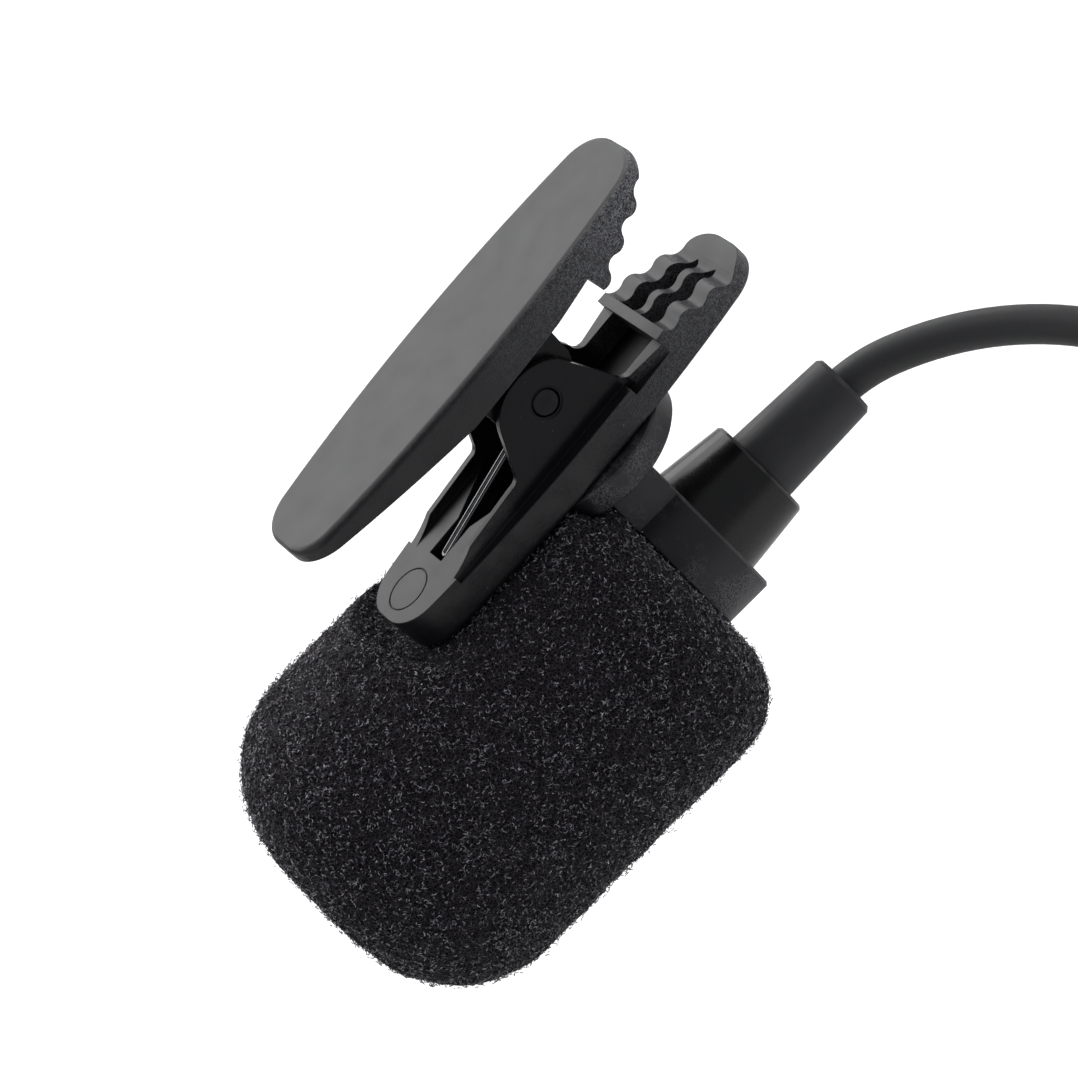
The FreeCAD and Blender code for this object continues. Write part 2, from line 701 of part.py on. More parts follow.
def rear_housing():
    """The glossy tail of the microphone: a tapered neck, and a spigot that the front housing fits over."""
    return turned("rear_housing", [
        ("size.housing_joint_x - size.spigot_length", "size.barrel_bore"),
        ("size.housing_joint_x - size.spigot_length", "size.spigot_radius"),
        ("size.housing_joint_x", "size.spigot_radius"),
        ("size.housing_joint_x", "size.barrel_radius"),
        ("size.ring_rear_x", "size.barrel_radius"),
        ("size.housing_end_x - 0.2", "size.housing_end_radius + 0.02"),
        ("size.housing_end_x", "size.housing_end_radius - 0.18"),
        ("size.housing_end_x", 2.03),
        ("size.housing_end_x - 1.5", 2.03),
        ("size.housing_end_x - 1.5", "size.barrel_bore - 0.9"),
        ("size.housing_end_x - 2.7", "size.barrel_bore"),
    ])


def front_housing():
    """The barrel round the capsule, with a counterbore for the grille."""
    return turned("front_housing", [
        ("size.housing_joint_x - 0.03", "size.front_bore"),
        ("size.housing_joint_x - 0.03", "size.barrel_radius"),
        ("size.barrel_front_x + 0.4", "size.barrel_radius"),
        ("size.barrel_front_x", "size.barrel_radius - 0.3"),
        ("size.barrel_front_x", "size.grille_radius + 0.03"),
        ("size.barrel_front_x + size.grille_thickness", "size.grille_radius + 0.03"),
        ("size.barrel_front_x + size.grille_thickness", "size.front_opening"),
        ("size.barrel_front_x + 0.75", "size.front_opening"),
        ("size.barrel_front_x + 0.75", "size.front_bore"),
    ])


def front_grille():
    """A steel disc with rings of small holes."""
    body = new_body("front_grille")
    disc = new_sketch(body, "YZ", lift="size.barrel_front_x + 0.02")
    draw_circle(disc, (0, 0), "size.grille_radius")
    extrude(body, "Pad", disc, "size.grille_thickness - 0.04")
    centre = draw_circle(new_sketch(body, "YZ", lift="size.barrel_front_x"), (0, 0), "size.grille_hole")
    extrude(body, "Pocket", centre, "size.grille_thickness", flip=True)
    for ring in (1, 2, 3):
        place = (0, f"{ring} * size.grille_spacing")
        hole = draw_circle(new_sketch(body, "YZ", lift="size.barrel_front_x"), place, "size.grille_hole")
        cut = extrude(body, "Pocket", hole, "size.grille_thickness", flip=True)
        pattern = body.newObject("PartDesign::PolarPattern", "grille_ring")
        pattern.Originals = [cut]
        pattern.Axis = (hole, ["N_Axis"])
        pattern.Angle = 360
        pattern.Occurrences = 6 * ring
        cut.Visibility = False
        body.Tip = pattern
        doc.recompute()
    hang_from_clip(body)
    return body


def grille_cloth():
    front = "size.barrel_front_x + 0.8"
    return tube("grille_cloth", front, f"{front} + 0.35", "size.front_bore - 0.1", 0)


def capsule_boot():
    """The rubber sleeve that seats the capsule in the barrel."""
    return turned("capsule_boot", [
        ("size.capsule_front_x - 0.3", "size.capsule_radius - 0.45"),
        ("size.capsule_front_x - 0.3", "size.boot_radius"),
        ("size.capsule_front_x + 4.2", "size.boot_radius"),
        ("size.capsule_front_x + 4.2", "size.capsule_radius + 0.03"),
        ("size.capsule_front_x - 0.03", "size.capsule_radius + 0.03"),
        ("size.capsule_front_x - 0.03", "size.capsule_radius - 0.45"),
    ])


def capsule_can():
    """The aluminium cup of the electret capsule, with a sound hole in front and a rolled lip behind."""
    wall, inside = "size.capsule_wall", "size.capsule_inside + 0.03"
    front, rear = "size.capsule_front_x", "(size.capsule_front_x + size.capsule_length)"
    return turned("capsule_can", [
        (front, 0.6),
        (front, "size.capsule_radius - 0.2"),
        (f"{front} + 0.2", "size.capsule_radius", (f"{front} + 0.06", "size.capsule_radius - 0.06")),
        (rear, "size.capsule_radius"),
        (rear, "size.capsule_inside - 0.3"),
        (f"{rear} - {wall}", "size.capsule_inside - 0.3"),
        (f"{rear} - {wall}", inside),
        (f"{front} + {wall}", inside),
        (f"{front} + {wall}", 0.6),
    ])


def capsule_layer(label, start, thickness, outer, inner=0):
    """A flat ring or disc inside the capsule, placed behind the capsule's front face."""
    front = f"size.capsule_front_x + {start}"
    return tube(label, front, f"{front} + {thickness}", outer, inner)


def capsule_felt():
    return capsule_layer("capsule_felt", -0.27, 0.25, "size.capsule_radius - 0.5")


def backplate():
    """The charged brass plate behind the diaphragm, with four vent holes."""
    body = new_body("backplate")
    front = "size.capsule_front_x + 0.66"
    disc = draw_circle(new_sketch(body, "YZ", lift=front), (0, 0), "size.capsule_inside - 0.35")
    extrude(body, "Pad", disc, 0.4)
    hole = draw_circle(new_sketch(body, "YZ", lift=front), (0, 1.3), 0.3)
    cut = extrude(body, "Pocket", hole, 0.4, flip=True)
    pattern = body.newObject("PartDesign::PolarPattern", "vents")
    pattern.Originals = [cut]
    pattern.Axis = (hole, ["N_Axis"])
    pattern.Angle = 360
    pattern.Occurrences = 4
    body.Tip = pattern
    doc.recompute()
    hang_from_clip(body)
    return body


def preamp_transistor():
    """The small transistor on the capsule's board."""
    body = new_body("preamp_transistor")
    outline = [(-0.65, -0.45), (-0.65, 0.45), (0.65, 0.45), (0.65, -0.45)]
    sketch = draw_outline(new_sketch(body, "YZ", lift="size.capsule_front_x + 1.3"), outline)
    extrude(body, "Pad", sketch, 0.64)
    round_edges(body, 0.08, lambda box: box.YLength < 1e-3 and box.ZLength < 1e-3)
    hang_from_clip(body)
    return body


def solder_joints():
    """Two solder cones on the back of the board, one for each lead."""
    cones = []
    for name, side in (("signal_joint", 1), ("ground_joint", -1)):
        cone = doc.addObject("Part::Cone", name)
        bind(cone, Radius1=0.5, Radius2=0.28, Height=0.45)
        cone.Placement = FreeCAD.Placement(FreeCAD.Vector(), FreeCAD.Rotation(FreeCAD.Vector(0, 1, 0), 90))
        cone.setExpression("Placement.Base.x", "size.capsule_front_x + 2.5")
        cone.setExpression("Placement.Base.y", str(1.2 * side))
        cones.append(cone)
    group = doc.addObject("Part::Compound", "solder_joints")
    group.Links = cones
    hang_from_clip(group)
    sub_parts.append(group)
    return group


def lead(label, side, end_x, end_y, radius):
    """A fine wire from the cable's cut end to its solder joint."""
    start_x = size("capsule_front_x") + 2.97
    bow = 0.5 * side
    middle_x = (start_x + end_x) / 2
    points = [
        FreeCAD.Vector(start_x, 1.2 * side, 0),
        FreeCAD.Vector(start_x + 1.2, 1.25 * side, 0.1),
        FreeCAD.Vector(middle_x, 0.8 * side + bow, 0.5),
        FreeCAD.Vector(end_x - 1.2, end_y + 0.1 * side, 0.1),
        FreeCAD.Vector(end_x, end_y, 0),
    ]
    feature = swept_wire(label, points, radius)
    hang_from_clip(feature)
    return feature


def foam_windscreen():
    """A foam cylinder with rounded ends and a blind bore, pressed flat where the clip sweeps over it."""
    body = new_body("foam_windscreen")
    front_centre = "(size.foam_front_x + size.foam_front_round)"
    rear_centre = "(size.foam_rear_x - size.foam_rear_round)"
    diagonal = "sin(45 deg)"
    turn(body, [
        ("size.foam_front_x", 0),
        ("size.foam_front_x", "size.foam_radius - size.foam_front_round"),
        (front_centre, "size.foam_radius",
         (f"{front_centre} - size.foam_front_round * {diagonal}",
          f"size.foam_radius - size.foam_front_round * (1 - {diagonal})")),
        (rear_centre, "size.foam_radius"),
        ("size.foam_rear_x", "size.foam_radius - size.foam_rear_round",
         (f"{rear_centre} + size.foam_rear_round * {diagonal}",
          f"size.foam_radius - size.foam_rear_round * (1 - {diagonal})")),
        ("size.foam_rear_x", "size.foam_cavity"),
        ("size.foam_cavity_front_x", "size.foam_cavity"),
        ("size.foam_cavity_front_x", 0),
    ])
    flat = new_sketch(body, "XY", lift="size.foam_flat_z", lean_axis=(0, -1, 0))
    extrude(body, "Pocket", draw_circle(flat, (0, 0), "size.clip_sweep_radius"), 5, flip=True)
    dent = new_sketch(body, "XY", lift="size.disc_low_z - size.disc_gap", lean_axis=(0, -1, 0))
    extrude(body, "Pocket", draw_circle(dent, (0, 0), "size.disc_radius + size.disc_gap"), 5, flip=True)
    hang_from_clip(body)
    return body


# ---------------------------------------------------------------- cable and plug

# The cable leaves the microphone along its axis and bends three times in one tilted plane. In that
# plane, across is measured from the axis. The third bend brings it parallel to the axis again.
CABLE_START_X = 1.0


def cable_path():
    """The corners of the cable's centre line, with a via point for each bend, as expressions."""
    radii = ["size.first_bend_radius", "size.second_bend_radius", "size.third_bend_radius"]
    angles = ["0", "size.first_bend_angle", "size.second_bend_angle", "0"]
    along, across = "size.bend_start_x", "0"
    corners = [(along, across)]
    for radius, begin, end in zip(radii, angles, angles[1:]):
        turn_sign = -1 if end == "0" else 1
        half = f"({begin} + {end}) / 2"

        def after(angle):
            return (f"{along} + {turn_sign} * {radius} * (sin({angle} * 1 deg) - sin({begin} * 1 deg))",
                    f"{across} - {turn_sign} * {radius} * (cos({begin} * 1 deg) - cos({angle} * 1 deg))")

        via = after(half)
        along, across = (f"({term})" for term in after(end))
        corners.append((along, across, via))
    return corners


def cable_layer(label, start_x, outer, inner=None, end_inset=0):
    """One layer of the cable, swept along the centre line."""
    body = new_body(label)
    corners = cable_path()
    end_x = f"{corners[-1][0]} + size.cable_end_run - {end_inset}"
    spine = new_sketch(body, "XY")
    spine.AttachmentOffset = FreeCAD.Placement(
        FreeCAD.Vector(), FreeCAD.Rotation(FreeCAD.Vector(1, 0, 0), size("cable_tilt")))
    spine.setExpression("AttachmentOffset.Rotation.Angle", "size.cable_tilt")
    route = [(start_x, 0)] + corners + [(end_x, corners[-1][1])]
    draw_route(spine, route)
    profile = draw_circle(new_sketch(body, "YZ", lift=start_x), (0, 0), outer)
    if inner is not None:
        draw_circle(profile, (0, 0), inner)
    doc.recompute()
    pipe = body.newObject("PartDesign::AdditivePipe", f"{label}_pipe")
    pipe.Profile = profile
    pipe.Spine = (spine, [f"Edge{i + 1}" for i in range(len(route) - 1)])
    doc.recompute()
    hang_from_clip(body)
    return body


def strain_relief():
    """The soft sleeve where the cable leaves the housing, keyed into the housing's end wall."""
    return turned("strain_relief", [
        ("size.housing_end_x - 2.4", "size.jacket_radius + 0.04"),
        ("size.housing_end_x - 2.4", 2.3),
        ("size.housing_end_x - 1.53", 2.3),
        ("size.housing_end_x - 1.53", 2.0),
        ("size.housing_end_x + 0.03", 2.0),
        ("size.housing_end_x + 0.03", "size.relief_base_radius"),
        ("size.relief_end_x - 0.3", "size.relief_end_radius"),
        ("size.relief_end_x", "size.relief_end_radius - 0.25"),
        ("size.relief_end_x", "size.jacket_radius + 0.35"),
        ("size.relief_end_x - 1.4", "size.jacket_radius + 0.04"),
    ])


def cable_clamp():
    """A brass ferrule crimped round the jacket inside the housing, so a pull can't reach the solder."""
    return turned("cable_clamp", [
        (1.4, "size.jacket_radius + 0.03"),
        (1.4, 2.1),
        (1.7, 2.3),
        (3.6, 2.3),
        (3.9, 2.1),
        (3.9, "size.jacket_radius + 0.03"),
    ])


def plug_turned(label, corners):
    """A sub-part turned about the plug's axis. Its x is measured from where the cable's bends end."""
    end_along, end_across = cable_path()[-1][:2]
    tilt = "size.cable_tilt * 1 deg"
    return turned(label, corners, along=end_along, sideways=f"{end_across} * sin({tilt})",
                  lift=f"-({end_across} * cos({tilt}))")


def plug_strain_relief():
    """A soft sleeve with ribs, at the cable's end of the plug."""
    corners = [
        (1, "size.jacket_radius + 0.04"),
        (1, 1.95),
    ]
    ribs = 4
    for i in range(ribs):
        start = 1.6 + 1.35 * i
        corners += [
            (start, f"2.05 + {0.12 * i}"),
            (start + 0.75, f"2.05 + {0.12 * i + 0.05}"),
            (start + 0.8, f"1.75 + {0.12 * i + 0.05}"),
            (start + 1.3, f"1.75 + {0.12 * i + 0.1}"),
        ]
    corners += [
        ("size.plug_relief_length - 1", 2.6),
        ("size.plug_relief_length + 1.5", 2.6),
        ("size.plug_relief_length + 1.5", "size.jacket_radius + 0.04"),
    ]
    return plug_turned("plug_strain_relief", corners)


def plug_handle():
    """The moulded grip of the plug."""
    rear, front = "size.plug_relief_length", "(size.plug_relief_length + size.handle_length)"
    return plug_turned("plug_handle", [
        (rear, 2.63),
        (rear, "size.handle_radius - 0.5"),
        (f"{rear} + 0.8", "size.handle_radius", (f"{rear} + 0.22", "size.handle_radius - 0.15")),
        (f"{front} - 1.2", "size.handle_radius"),
        (f"{front} - 0.2", "size.handle_radius - 0.55"),
        (front, "size.handle_radius - 0.75"),
        (front, "size.plug_radius - size.sleeve_step + 0.02"),
        (f"{front} - 2.5", "size.plug_radius - size.sleeve_step + 0.02"),
        (f"{front} - 2.5", 2.45),
        (f"{rear} + 1.55", 2.45),
        (f"{rear} + 1.55", 2.63),
    ])


# Contacts of the plug, as (label, start, end) along the plug from the handle's front face.
PLUG_CONTACTS = (("plug_sleeve", -4.0, 4.9), ("plug_ring_rear", 5.5, 7.6), ("plug_ring_front", 8.2, 10.0))
PLUG_TIP_START = 10.6
CONTACT_GAP = 0.01


def plug_x(distance):
    return f"size.plug_relief_length + size.handle_length + {distance}"


def plug_contacts():
    """The plated contact bands: they share one outside radius and sit on the insulator's tube. The part
    of the sleeve that the handle grips is a little smaller."""
    for label, start, end in PLUG_CONTACTS:
        gripped = [
            (plug_x(start + CONTACT_GAP), "size.plug_radius - size.sleeve_step"),
            (plug_x(0), "size.plug_radius - size.sleeve_step"),
        ]
        plug_turned(label, [
            (plug_x(start + CONTACT_GAP), "size.core_tube_radius + 0.02"),
            *(gripped if start < 0 else []),
            (plug_x(max(start + CONTACT_GAP, 0)), "size.plug_radius"),
            (plug_x(end - CONTACT_GAP), "size.plug_radius"),
            (plug_x(end - CONTACT_GAP), "size.core_tube_radius + 0.02"),
        ])


def plug_insulator():
    """One moulding: a tube round the tip's rod, with a collar between each two contacts."""
    corners = [
        (plug_x(-5.2), "size.tip_rod_radius + 0.02"),
        (plug_x(-5.2), "size.core_tube_radius"),
    ]
    for contact, end in zip(PLUG_CONTACTS, [c[1] for c in PLUG_CONTACTS[1:]] + [PLUG_TIP_START]):
        corners += [
            (plug_x(contact[2]), "size.core_tube_radius"),
            (plug_x(contact[2]), "size.plug_radius"),
            (plug_x(end), "size.plug_radius"),
        ]
        if end != PLUG_TIP_START:
            corners.append((plug_x(end), "size.core_tube_radius"))
    corners.append((plug_x(PLUG_TIP_START), "size.tip_rod_radius + 0.02"))
    return plug_turned("plug_insulator", corners)


def plug_tip():
    """The tip contact, with its latching groove, and the rod that runs back through the plug."""
    start = PLUG_TIP_START + CONTACT_GAP
    return plug_turned("plug_tip", [
        (plug_x(-6.4), 0),
        (plug_x(-6.4), "size.tip_rod_radius"),
        (plug_x(start), "size.tip_rod_radius"),
        (plug_x(start), "size.plug_radius"),
        (plug_x(start + 0.35), "size.plug_radius"),
        (plug_x(start + 1.0), 1.28),
        (plug_x(start + 1.25), 1.28),
        (plug_x(start + 1.95), "size.plug_radius - 0.02", (plug_x(start + 1.5), 1.62)),
        (plug_x("size.plug_length - 0.15"), 0.75),
        (plug_x("size.plug_length"), 0.45),
        (plug_x("size.plug_length"), 0),
    ])


# ---------------------------------------------------------------- assembly


def build_all():
    clip_jaw()
    clip_lever()
    hinge_pin()
    torsion_spring()
    ring_holder()
    rear_housing()
    front_housing()
    front_grille()
    grille_cloth()
    capsule_boot()
    capsule_can()
    capsule_felt()
    capsule_layer("diaphragm_ring", 0.22, 0.25, "size.capsule_inside", 2.1)
    capsule_layer("diaphragm", 0.48, 0.05, "size.capsule_inside")
    capsule_layer("spacer_ring", 0.54, 0.1, "size.capsule_inside", 2.15)
    backplate()
    capsule_layer("backplate_holder", 0.66, 1.26, "size.capsule_inside", "size.capsule_inside - 0.3")
    preamp_transistor()
    capsule_layer("capsule_board", 1.95, 0.54, "size.capsule_inside")
    solder_joints()
    foam_windscreen()
    strain_relief()
    cable_clamp()
    gap = "size.layer_gap"
    in_jacket, in_shield = f"size.shield_radius + {gap}", f"size.core_radius + {gap}"
    cable_layer("cable_jacket", CABLE_START_X, "size.jacket_radius", in_jacket, end_inset=1)
    cable_layer("cable_shield", CABLE_START_X - 1, "size.shield_radius", in_shield, end_inset=0.5)
    cable_layer("core_insulation", CABLE_START_X - 3, "size.core_radius", f"size.conductor_radius + {gap}")
    cable_layer("core_conductor", CABLE_START_X - 4.5, "size.conductor_radius", end_inset=-1)
    lead("signal_lead", 1, CABLE_START_X - 4.53, 0, size("conductor_radius"))
    lead("ground_lead", -1, CABLE_START_X - 1.2, -0.68, 0.15)
    plug_strain_relief()
    plug_handle()
    plug_contacts()
    plug_insulator()
    plug_tip()


def check_document():
    doc.recompute()
    for thing in doc.Objects:
        if "Invalid" in thing.State or "Error" in thing.State:
            raise RuntimeError(f"{thing.Name} failed: {thing.State}")
    for part in sub_parts:
        if part.Shape.isNull() or not part.Shape.isValid() or not part.Shape.Solids:
            raise RuntimeError(f"{part.Label} has no valid solid")


def write_parts():
    os.makedirs("parts", exist_ok=True)
    for part in sub_parts:
        part.Shape.exportStep(os.path.join("parts", f"{part.Label}.step"))
        print(part.Label, len(part.Shape.Solids), round(part.Shape.Volume, 2))


build_all()
check_document()
write_parts()
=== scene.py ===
import json
import math

import bpy
import numpy as np
from mathutils import Matrix, Vector, noise


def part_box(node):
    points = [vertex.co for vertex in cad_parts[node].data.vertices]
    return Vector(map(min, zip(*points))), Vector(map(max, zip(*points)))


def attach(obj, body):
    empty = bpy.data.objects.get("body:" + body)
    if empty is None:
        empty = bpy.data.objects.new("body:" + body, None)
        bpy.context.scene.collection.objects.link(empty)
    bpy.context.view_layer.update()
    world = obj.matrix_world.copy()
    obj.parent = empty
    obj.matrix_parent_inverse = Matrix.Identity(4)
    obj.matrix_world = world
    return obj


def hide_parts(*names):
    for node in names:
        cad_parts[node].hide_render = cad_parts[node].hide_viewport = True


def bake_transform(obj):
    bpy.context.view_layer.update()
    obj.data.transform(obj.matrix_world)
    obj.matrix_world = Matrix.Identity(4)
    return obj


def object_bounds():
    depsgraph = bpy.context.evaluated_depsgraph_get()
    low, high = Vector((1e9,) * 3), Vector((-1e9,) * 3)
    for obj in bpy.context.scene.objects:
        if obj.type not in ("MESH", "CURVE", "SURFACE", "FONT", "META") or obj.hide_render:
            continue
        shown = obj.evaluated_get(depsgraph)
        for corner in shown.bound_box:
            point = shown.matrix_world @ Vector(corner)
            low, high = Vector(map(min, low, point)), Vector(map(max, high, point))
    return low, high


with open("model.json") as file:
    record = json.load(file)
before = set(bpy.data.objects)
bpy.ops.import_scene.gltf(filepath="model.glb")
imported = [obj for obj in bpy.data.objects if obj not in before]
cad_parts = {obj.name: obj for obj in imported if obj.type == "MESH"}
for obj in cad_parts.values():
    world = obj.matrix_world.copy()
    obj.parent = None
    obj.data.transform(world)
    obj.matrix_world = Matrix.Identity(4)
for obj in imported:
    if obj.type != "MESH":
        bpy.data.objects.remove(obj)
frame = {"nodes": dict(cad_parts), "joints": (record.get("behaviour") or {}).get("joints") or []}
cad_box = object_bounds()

# A lavalier microphone: its clip, swivel ring, barrel and cable come from the CAD frame, and this script
# adds the foam windscreen, the spring's wire, the surface of every material, the light and the camera.
# Lengths are in metres; MM turns millimetres into metres.

MM = 0.001


# ---------------------------------------------------------------- places taken from the frame


def joint(name):
    return next(j for j in frame["joints"] if j["name"] == name)


def microphone_frame():
    """The matrix from microphone axes to the row. +X runs from windscreen to cable, along the barrel, and
    the origin is on the barrel's axis, under the swivel."""
    along = -Vector(joint("windscreen_slide")["axis"]).normalized()
    side = Vector((0, 0, 1)).cross(along).normalized()
    up = along.cross(side)
    low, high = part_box("front_grille")
    grille = (low + high) / 2
    swivel = Vector(joint("holder_swivel")["pos_m"])
    origin = grille + along * (swivel - grille).dot(along)
    matrix = Matrix((along, side, up)).transposed().to_4x4()
    matrix.translation = origin
    return matrix


MIC = microphone_frame()

# The clip's axes, seen from the microphone's: the origin is on the swivel's axis, on the clip's back.
CLIP = MIC.inverted() @ Matrix.Translation(joint("holder_swivel")["pos_m"])
CLIP_TURN = np.array(CLIP.to_3x3())
CLIP_ORIGIN = np.array(CLIP.translation) / MM


def mic_points(node):
    """A CAD node's corner points in microphone axes, as an array in millimetres."""
    inverse = MIC.inverted()
    return np.array([inverse @ v.co for v in frame["nodes"][node].data.vertices]) / MM


def into_clip(points):
    """Points in the clip's axes, from microphone axes."""
    return (points - CLIP_ORIGIN) @ CLIP_TURN


def out_of_clip(points):
    """Points in microphone axes, from the clip's axes."""
    return points @ CLIP_TURN.T + CLIP_ORIGIN


def add_object(name, data):
    """A new object in the scene."""
    made = bpy.data.objects.new(name, data)
    bpy.context.scene.collection.objects.link(made)
    return made


# ---------------------------------------------------------------- node helpers


class Material:
    """A new material and short ways to add nodes to it. Textures are laid out in millimetres."""

    def __init__(self, name):
        self.material = bpy.data.materials.new(name)
        self.material.use_nodes = True
        self.tree = self.material.node_tree
        self.tree.nodes.clear()
        self.output = self.tree.nodes.new("ShaderNodeOutputMaterial")
        self.surface = self.tree.nodes.new("ShaderNodeBsdfPrincipled")
        self.tree.links.new(self.surface.outputs[0], self.output.inputs["Surface"])
        place = self.tree.nodes.new("ShaderNodeTexCoord")
        self.place = self.math_vector("MULTIPLY", place.outputs["Object"], (1 / MM,) * 3)

    def add(self, kind, inputs=(), **settings):
        """A new node with its settings, and values or links for its inputs."""
        made = self.tree.nodes.new(kind)
        for key, value in settings.items():
            setattr(made, key, value)
        for key, value in dict(inputs).items():
            self.put(made.inputs[key], value)
        return made

    def put(self, socket, value):
        """Links a node's output to a socket, or sets the socket's own value."""
        if isinstance(value, bpy.types.NodeSocket):
            self.tree.links.new(value, socket)
        else:
            socket.default_value = value

    def set(self, **values):
        """Sets the surface's inputs: base_color becomes Base Color, and so on."""
        for key, value in values.items():
            name = key.replace("_", " ").title().replace("Ior", "IOR")
            if name.endswith("Color"):
                value = self.colour(value)
            self.put(self.surface.inputs[name], value)

    def colour(self, value):
        """A colour with its alpha, or the link that carries one."""
        return value if isinstance(value, bpy.types.NodeSocket) else (*value, 1)

    def math(self, operation, first, second=0.0):
        made = self.add("ShaderNodeMath", operation=operation)
        self.put(made.inputs[0], first)
        self.put(made.inputs[1], second)
        return made.outputs[0]

    def math_vector(self, operation, first, second):
        made = self.add("ShaderNodeVectorMath", operation=operation)
        self.put(made.inputs[0], first)
        self.put(made.inputs[1], second)
        return made.outputs[0]

    def noise(self, per_mm, detail=3.0, rough=0.55, stretch=None):
        """Fractal noise about 0.5, with per_mm waves to a millimetre, times stretch along each axis."""
        place = self.place if stretch is None else self.math_vector("MULTIPLY", self.place, stretch)
        inputs = {"Vector": place, "Scale": per_mm, "Detail": detail, "Roughness": rough}
        return self.add("ShaderNodeTexNoise", inputs).outputs["Fac"]

    def cells(self, per_mm, feature="F1"):
        """The distance to the nearest cell's middle, or with DISTANCE_TO_EDGE to the cell's wall."""
        made = self.add("ShaderNodeTexVoronoi", {"Vector": self.place, "Scale": per_mm}, feature=feature)
        return made.outputs["Distance"]

    def span(self, value, low, high, to_low=0.0, to_high=1.0):
        """Maps low..high onto to_low..to_high, and holds the ends."""
        inputs = {"Value": value, "From Min": low, "From Max": high, "To Min": to_low, "To Max": to_high}
        return self.add("ShaderNodeMapRange", inputs, clamp=True).outputs["Result"]

    def mix_colour(self, share, first, second):
        made = self.add("ShaderNodeMix", data_type="RGBA")
        self.put(made.inputs["Factor"], share)
        for name, colour in (("A", first), ("B", second)):
            socket = [i for i in made.inputs if i.name == name and i.type == "RGBA"][0]
            self.put(socket, self.colour(colour))
        return [o for o in made.outputs if o.type == "RGBA"][0]

    def mix(self, share, first, second):
        """A number between two others, at a share of the way."""
        made = self.add("ShaderNodeMix", data_type="FLOAT")
        self.put(made.inputs["Factor"], share)
        for name, value in (("A", first), ("B", second)):
            socket = [i for i in made.inputs if i.name == name and i.type == "VALUE"][0]
            self.put(socket, value)
        return [o for o in made.outputs if o.type == "VALUE"][0]

    def along(self, axis):
        """The place along one of the object's axes, in millimetres."""
        return self.add("ShaderNodeSeparateXYZ", {"Vector": self.place}).outputs[axis]

    def product(self, *shares):
        """The product of several shares."""
        result = shares[0]
        for share in shares[1:]:
            result = self.math("MULTIPLY", result, share)
        return result

    def normal_part(self, axis):
        """How far the surface faces along one of the object's axes, as 0 to 1 without a sign."""
        place = self.add("ShaderNodeTexCoord").outputs["Normal"]
        parts = self.add("ShaderNodeSeparateXYZ", {"Vector": place})
        return self.math("ABSOLUTE", parts.outputs[axis])

    def bump(self, heights, edge=None):
        """Bumps from (height, depth in millimetres, strength) pairs, over an optional rounded edge."""
        under = None
        if edge:
            under = self.add("ShaderNodeBevel", {"Radius": edge * MM}, samples=6).outputs["Normal"]
        for height, depth, strength in heights:
            inputs = {"Height": height, "Distance": depth * MM, "Strength": strength}
            if under is not None:
                inputs["Normal"] = under
            under = self.add("ShaderNodeBump", inputs).outputs["Normal"]
        self.put(self.surface.inputs["Normal"], under)


# ---------------------------------------------------------------- materials: plastics


def clip_plastic():
    """Black moulded plastic. The tops and ribs are smooth satin, the ears are glossy, and the outer sides
    have a spark-eroded grain, which is strongest at the nose and fades towards the tail. The grain's light
    flecks in the colour are a painted glint, brighter higher up the sides. The floor of the jaw's well is
    dull."""
    m = Material("clip_plastic")
    _, pin_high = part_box("hinge_pin")
    pin_front, pin_end, pin_top = pin_high / MM
    ear_front, ear_rear, ear_fade = pin_front + 4.5, pin_front - 8.0, 0.8
    ear_outside, beyond_ear = pin_end + 0.22, pin_end + 0.26
    nose_start, nose_end = pin_front - 4, pin_front + 12
    floor_thickness = 1.0
    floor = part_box("clip_jaw")[0].z / MM + floor_thickness
    side = m.span(m.normal_part("Z"), 0.93, 0.6)
    ear = m.product(
        side,
        m.span(m.math("ABSOLUTE", m.along("Y")), beyond_ear, ear_outside),
        m.span(m.along("X"), ear_front, ear_front - ear_fade),
        m.span(m.along("X"), ear_rear, ear_rear + ear_fade),
    )
    nose = m.span(m.along("X"), nose_start, nose_end)
    well = m.product(m.math("SUBTRACT", 1.0, side), m.span(m.along("Z"), floor + 0.4, floor + 0.2))
    patches = m.noise(0.5, 3)
    fine = m.noise(9.0, 4, 0.7)
    grain = m.cells(9.5)
    coarse = m.noise(3.2, 4, 0.75)
    strength = m.mix(nose, m.span(patches, 0.4, 0.75, 0.05, 0.5), 1.0)
    grained = m.product(side, m.math("SUBTRACT", 1.0, ear), strength)
    # Painted glint: the grain's light flecks are coloured in where a side light would catch them, and
    # brighter higher up the sides.
    height = m.span(m.along("Z"), pin_top - 2, pin_top + 2, 0.5, 1.0)
    painted_glints = m.product(grained, nose, height, m.span(grain, 0.8, 0.15), m.span(coarse, 0.3, 0.64))
    scuffs = m.product(side, m.span(m.cells(1.3), 0.06, 0.03), m.span(coarse, 0.5, 0.6))
    # marks holds the painted glint flecks together with the paler scuffs of wear.
    marks = m.math("MAXIMUM", painted_glints, m.math("MULTIPLY", scuffs, 0.5))
    plain = m.mix_colour(m.noise(0.8, 3), (0.006, 0.006, 0.008), (0.011, 0.011, 0.013))
    smooth = m.mix(ear, m.span(patches, 0.3, 0.7, 0.35, 0.42), 0.24)
    m.set(
        base_color=m.mix_colour(marks, plain, (0.52, 0.52, 0.57)),
        roughness=m.mix(grained, smooth, m.span(fine, 0.3, 0.7, 0.26, 0.46)),
        specular_ior_level=m.mix(m.math("MAXIMUM", ear, well), 0.5, 0.2),
        ior=1.5,
    )
    relief = m.math("MULTIPLY", m.math("ADD", grain, coarse), grained)
    m.bump([(relief, 0.09, 1.0), (fine, 0.004, m.mix(grained, 0.25, 0.9))], edge=0.12)
    return m.material


